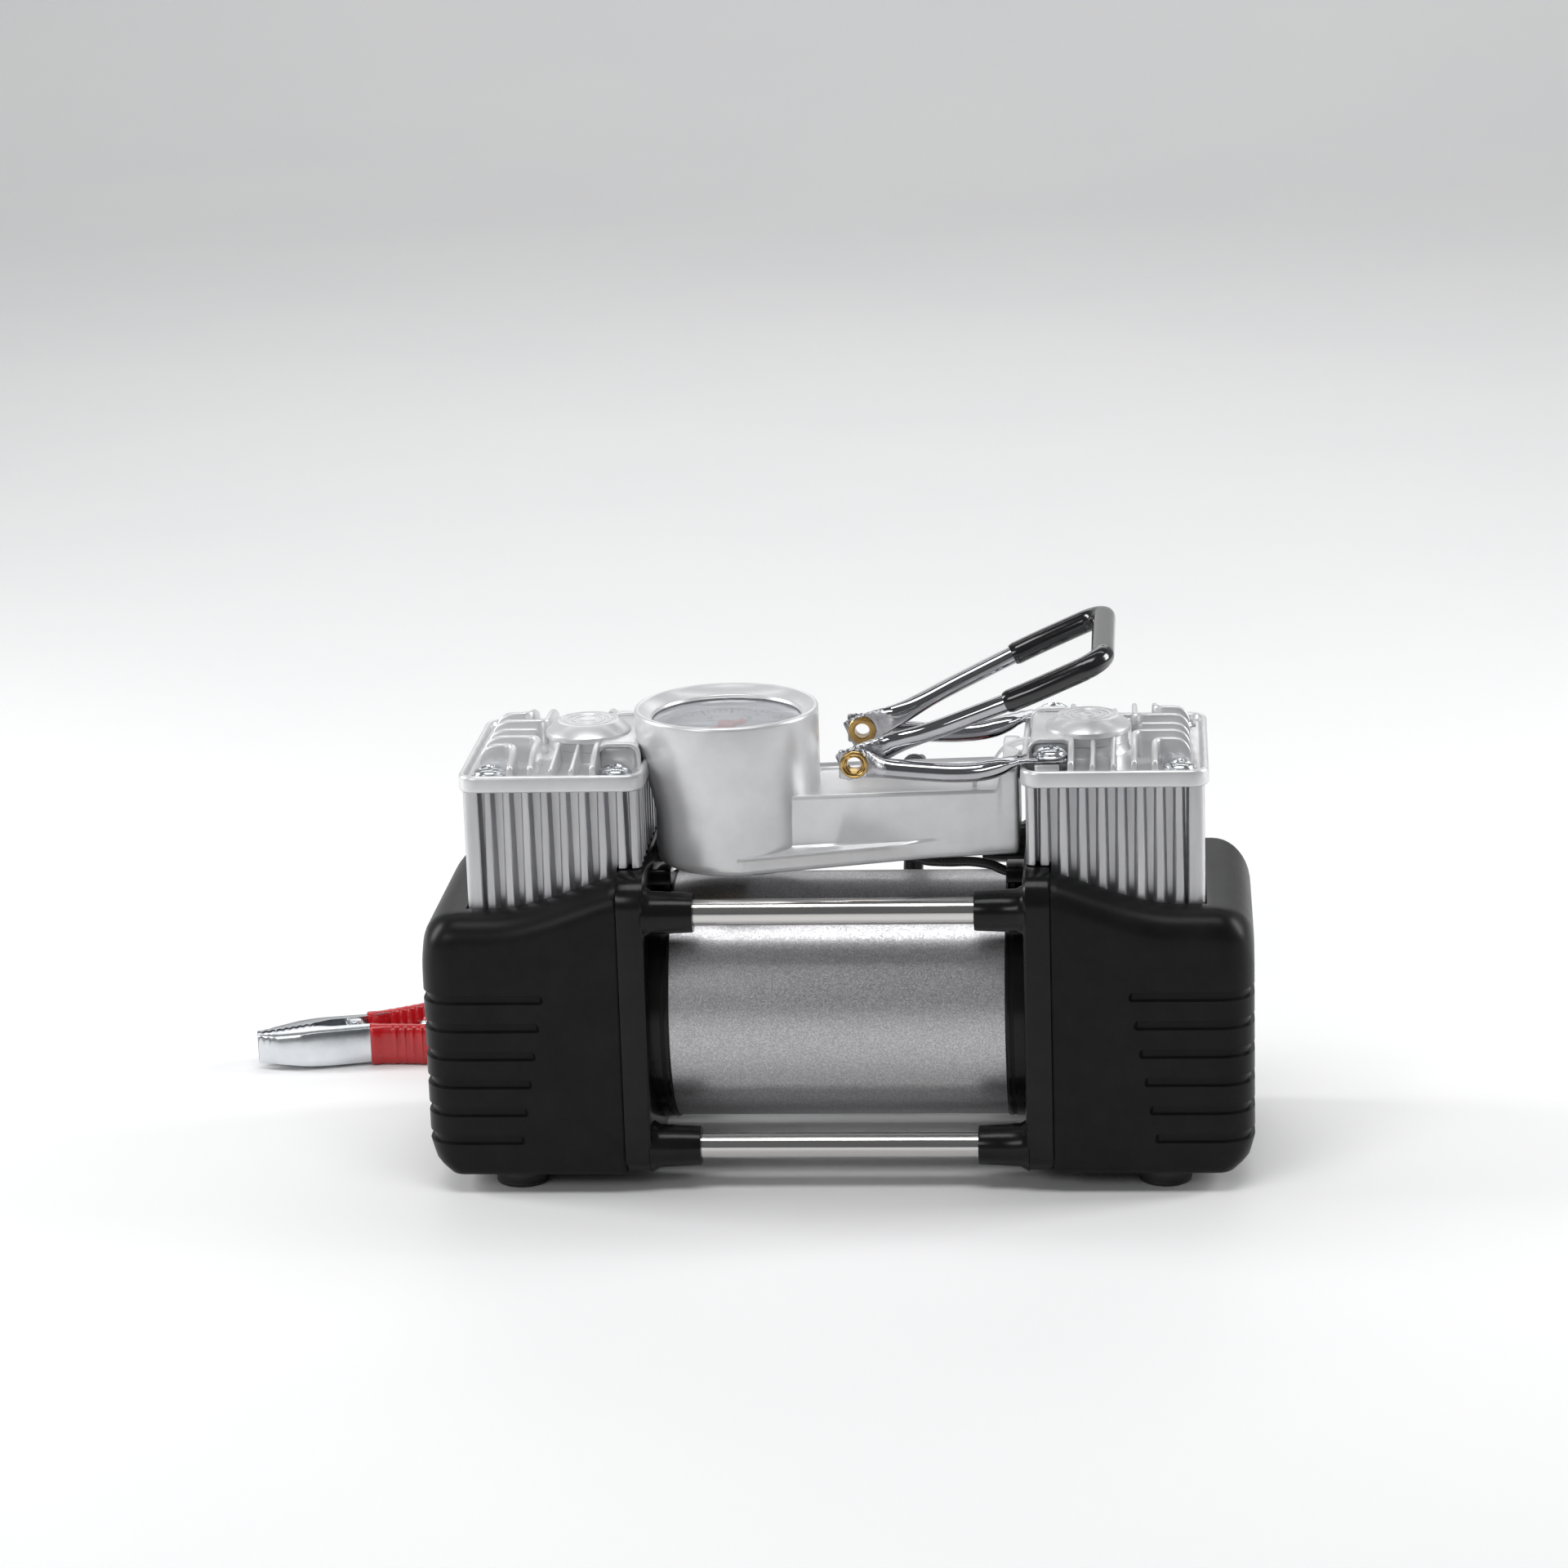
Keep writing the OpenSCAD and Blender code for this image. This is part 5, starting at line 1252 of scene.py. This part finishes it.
def handle():
    for name, sign in (("front", -1), ("rear", 1)):
        rows = [(x, sign * y, z, *shape) for x, y, z, *shape in LINK]
        link = pressed_tube(rows).make("pressed_link_" + name, "chrome", "link_" + name, sharp=40)
        drill(link, sign * LINK_Y, 6)
        crinkle_eyes(link)
    rows = [(*bail_point(x, -y), *shape) for x, y, *shape in BAIL_ARM]
    rows += [(*bail_point(x, y), *shape) for x, y, *shape in reversed(BAIL_ARM)]
    bail = pressed_tube(rows).make("chrome_bail", "chrome", "handle_bail", "handle", sharp=40)
    for sign in (-1, 1):
        drill(bail, sign * BAIL_Y, 4)
    crinkle_eyes(bail)
    covered = [row[:3] for row in rows if row[3] == BAIL_R and row[0] > bail_point(49, 0)[0]]
    path = smooth_path([bail_point(50.5, -28.7)] + covered[1:-1] + [bail_point(50.5, 28.7)], STEPS_PER_SPAN)
    sleeve = Build(tube(path, 3.5, 36, first=(0, 1, 0), lip=0.35))
    sleeve.make("grip_sleeve", "grip", "handle_grip", "handle", sharp=50)
    rivets = Build()
    for axis in ("+Y", "-Y"):
        rivets.add(lathe(RIVET, 64), along(axis, (HINGE[0], 0, HINGE[1])))
    rivets.make("rolled_hinge_rivets", "brass", "hinge_rivets", sharp=40)


gauge()
outlet()
strain_relief()
switch()
Build(tube(smooth_path(MOTOR_WIRE, 5), 1.5, 20)).make("motor_wire", "cable_black", "motor_lead")
handle()

# ---------- stage ----------


def stage():
    """A pale sheet that lies flat under the unit and curves up far behind it."""
    mesh = bpy.data.meshes.new("floor")
    curve = [(-9, 0)] + arc(2, 1, 1, -90, 0, 9) + [(3, 3)]
    mesh.from_pydata([(x, y, z) for y, z in curve for x in (-9, 9)], [],
                     [(2 * k, 2 * k + 1, 2 * k + 3, 2 * k + 2) for k in range(len(curve) - 1)])
    mesh.shade_smooth()
    floor = new_object("floor", mesh)
    n = Nodes("floor_card", {"Roughness": 0.6})
    n.feed({"Base Color": n.mix(n.span(n.noise(4, 3, 0.5), 0, 1, 0.3, 0.7), (0.86, 0.86, 0.86), (0.84, 0.84, 0.845))})
    mesh.materials.append(n.mat)


# Each light: name, place, what it points at, width, height (all in metres) and watts
UNIT = (0, 0, 0.07)
LIGHTS = (("left_box", (-1, 0.1, 0.5), UNIT, 0.3, 0.6, 7),
          ("right_box", (1, 0.2, 0.5), UNIT, 0.3, 0.6, 7),
          ("top_box", (0, -0.35, 1.1), UNIT, 0.9, 0.35, 5.5),
          ("front_fill", (-0.9, -1.3, 0.8), UNIT, 0.8, 0.4, 5.5),
          ("back_box", (0, 1.3, 0.9), UNIT, 1.4, 0.5, 2.5),
          ("backdrop_light", (0, 1, 2.4), (0, 3, 0.9), 3.5, 0.6, 38))


def lights():
    for name, at, target, width, height, watts in LIGHTS:
        data = bpy.data.lights.new(name, "AREA")
        data.shape = "RECTANGLE"
        data.size = width
        data.size_y = height
        data.energy = watts
        aim = Vector(target) - Vector(at)
        new_object(name, data).matrix_world = shift(at) @ aim.to_track_quat("-Z", "Y").to_matrix().to_4x4()
    world = bpy.data.worlds.new("studio")
    world.use_nodes = True
    inputs = world.node_tree.nodes["Background"].inputs
    inputs["Color"].default_value = (0.95, 0.97, 1, 1)
    inputs["Strength"].default_value = 0.15
    bpy.context.scene.world = world


stage()
lights()
bpy.context.scene.view_settings.view_transform = "Standard"
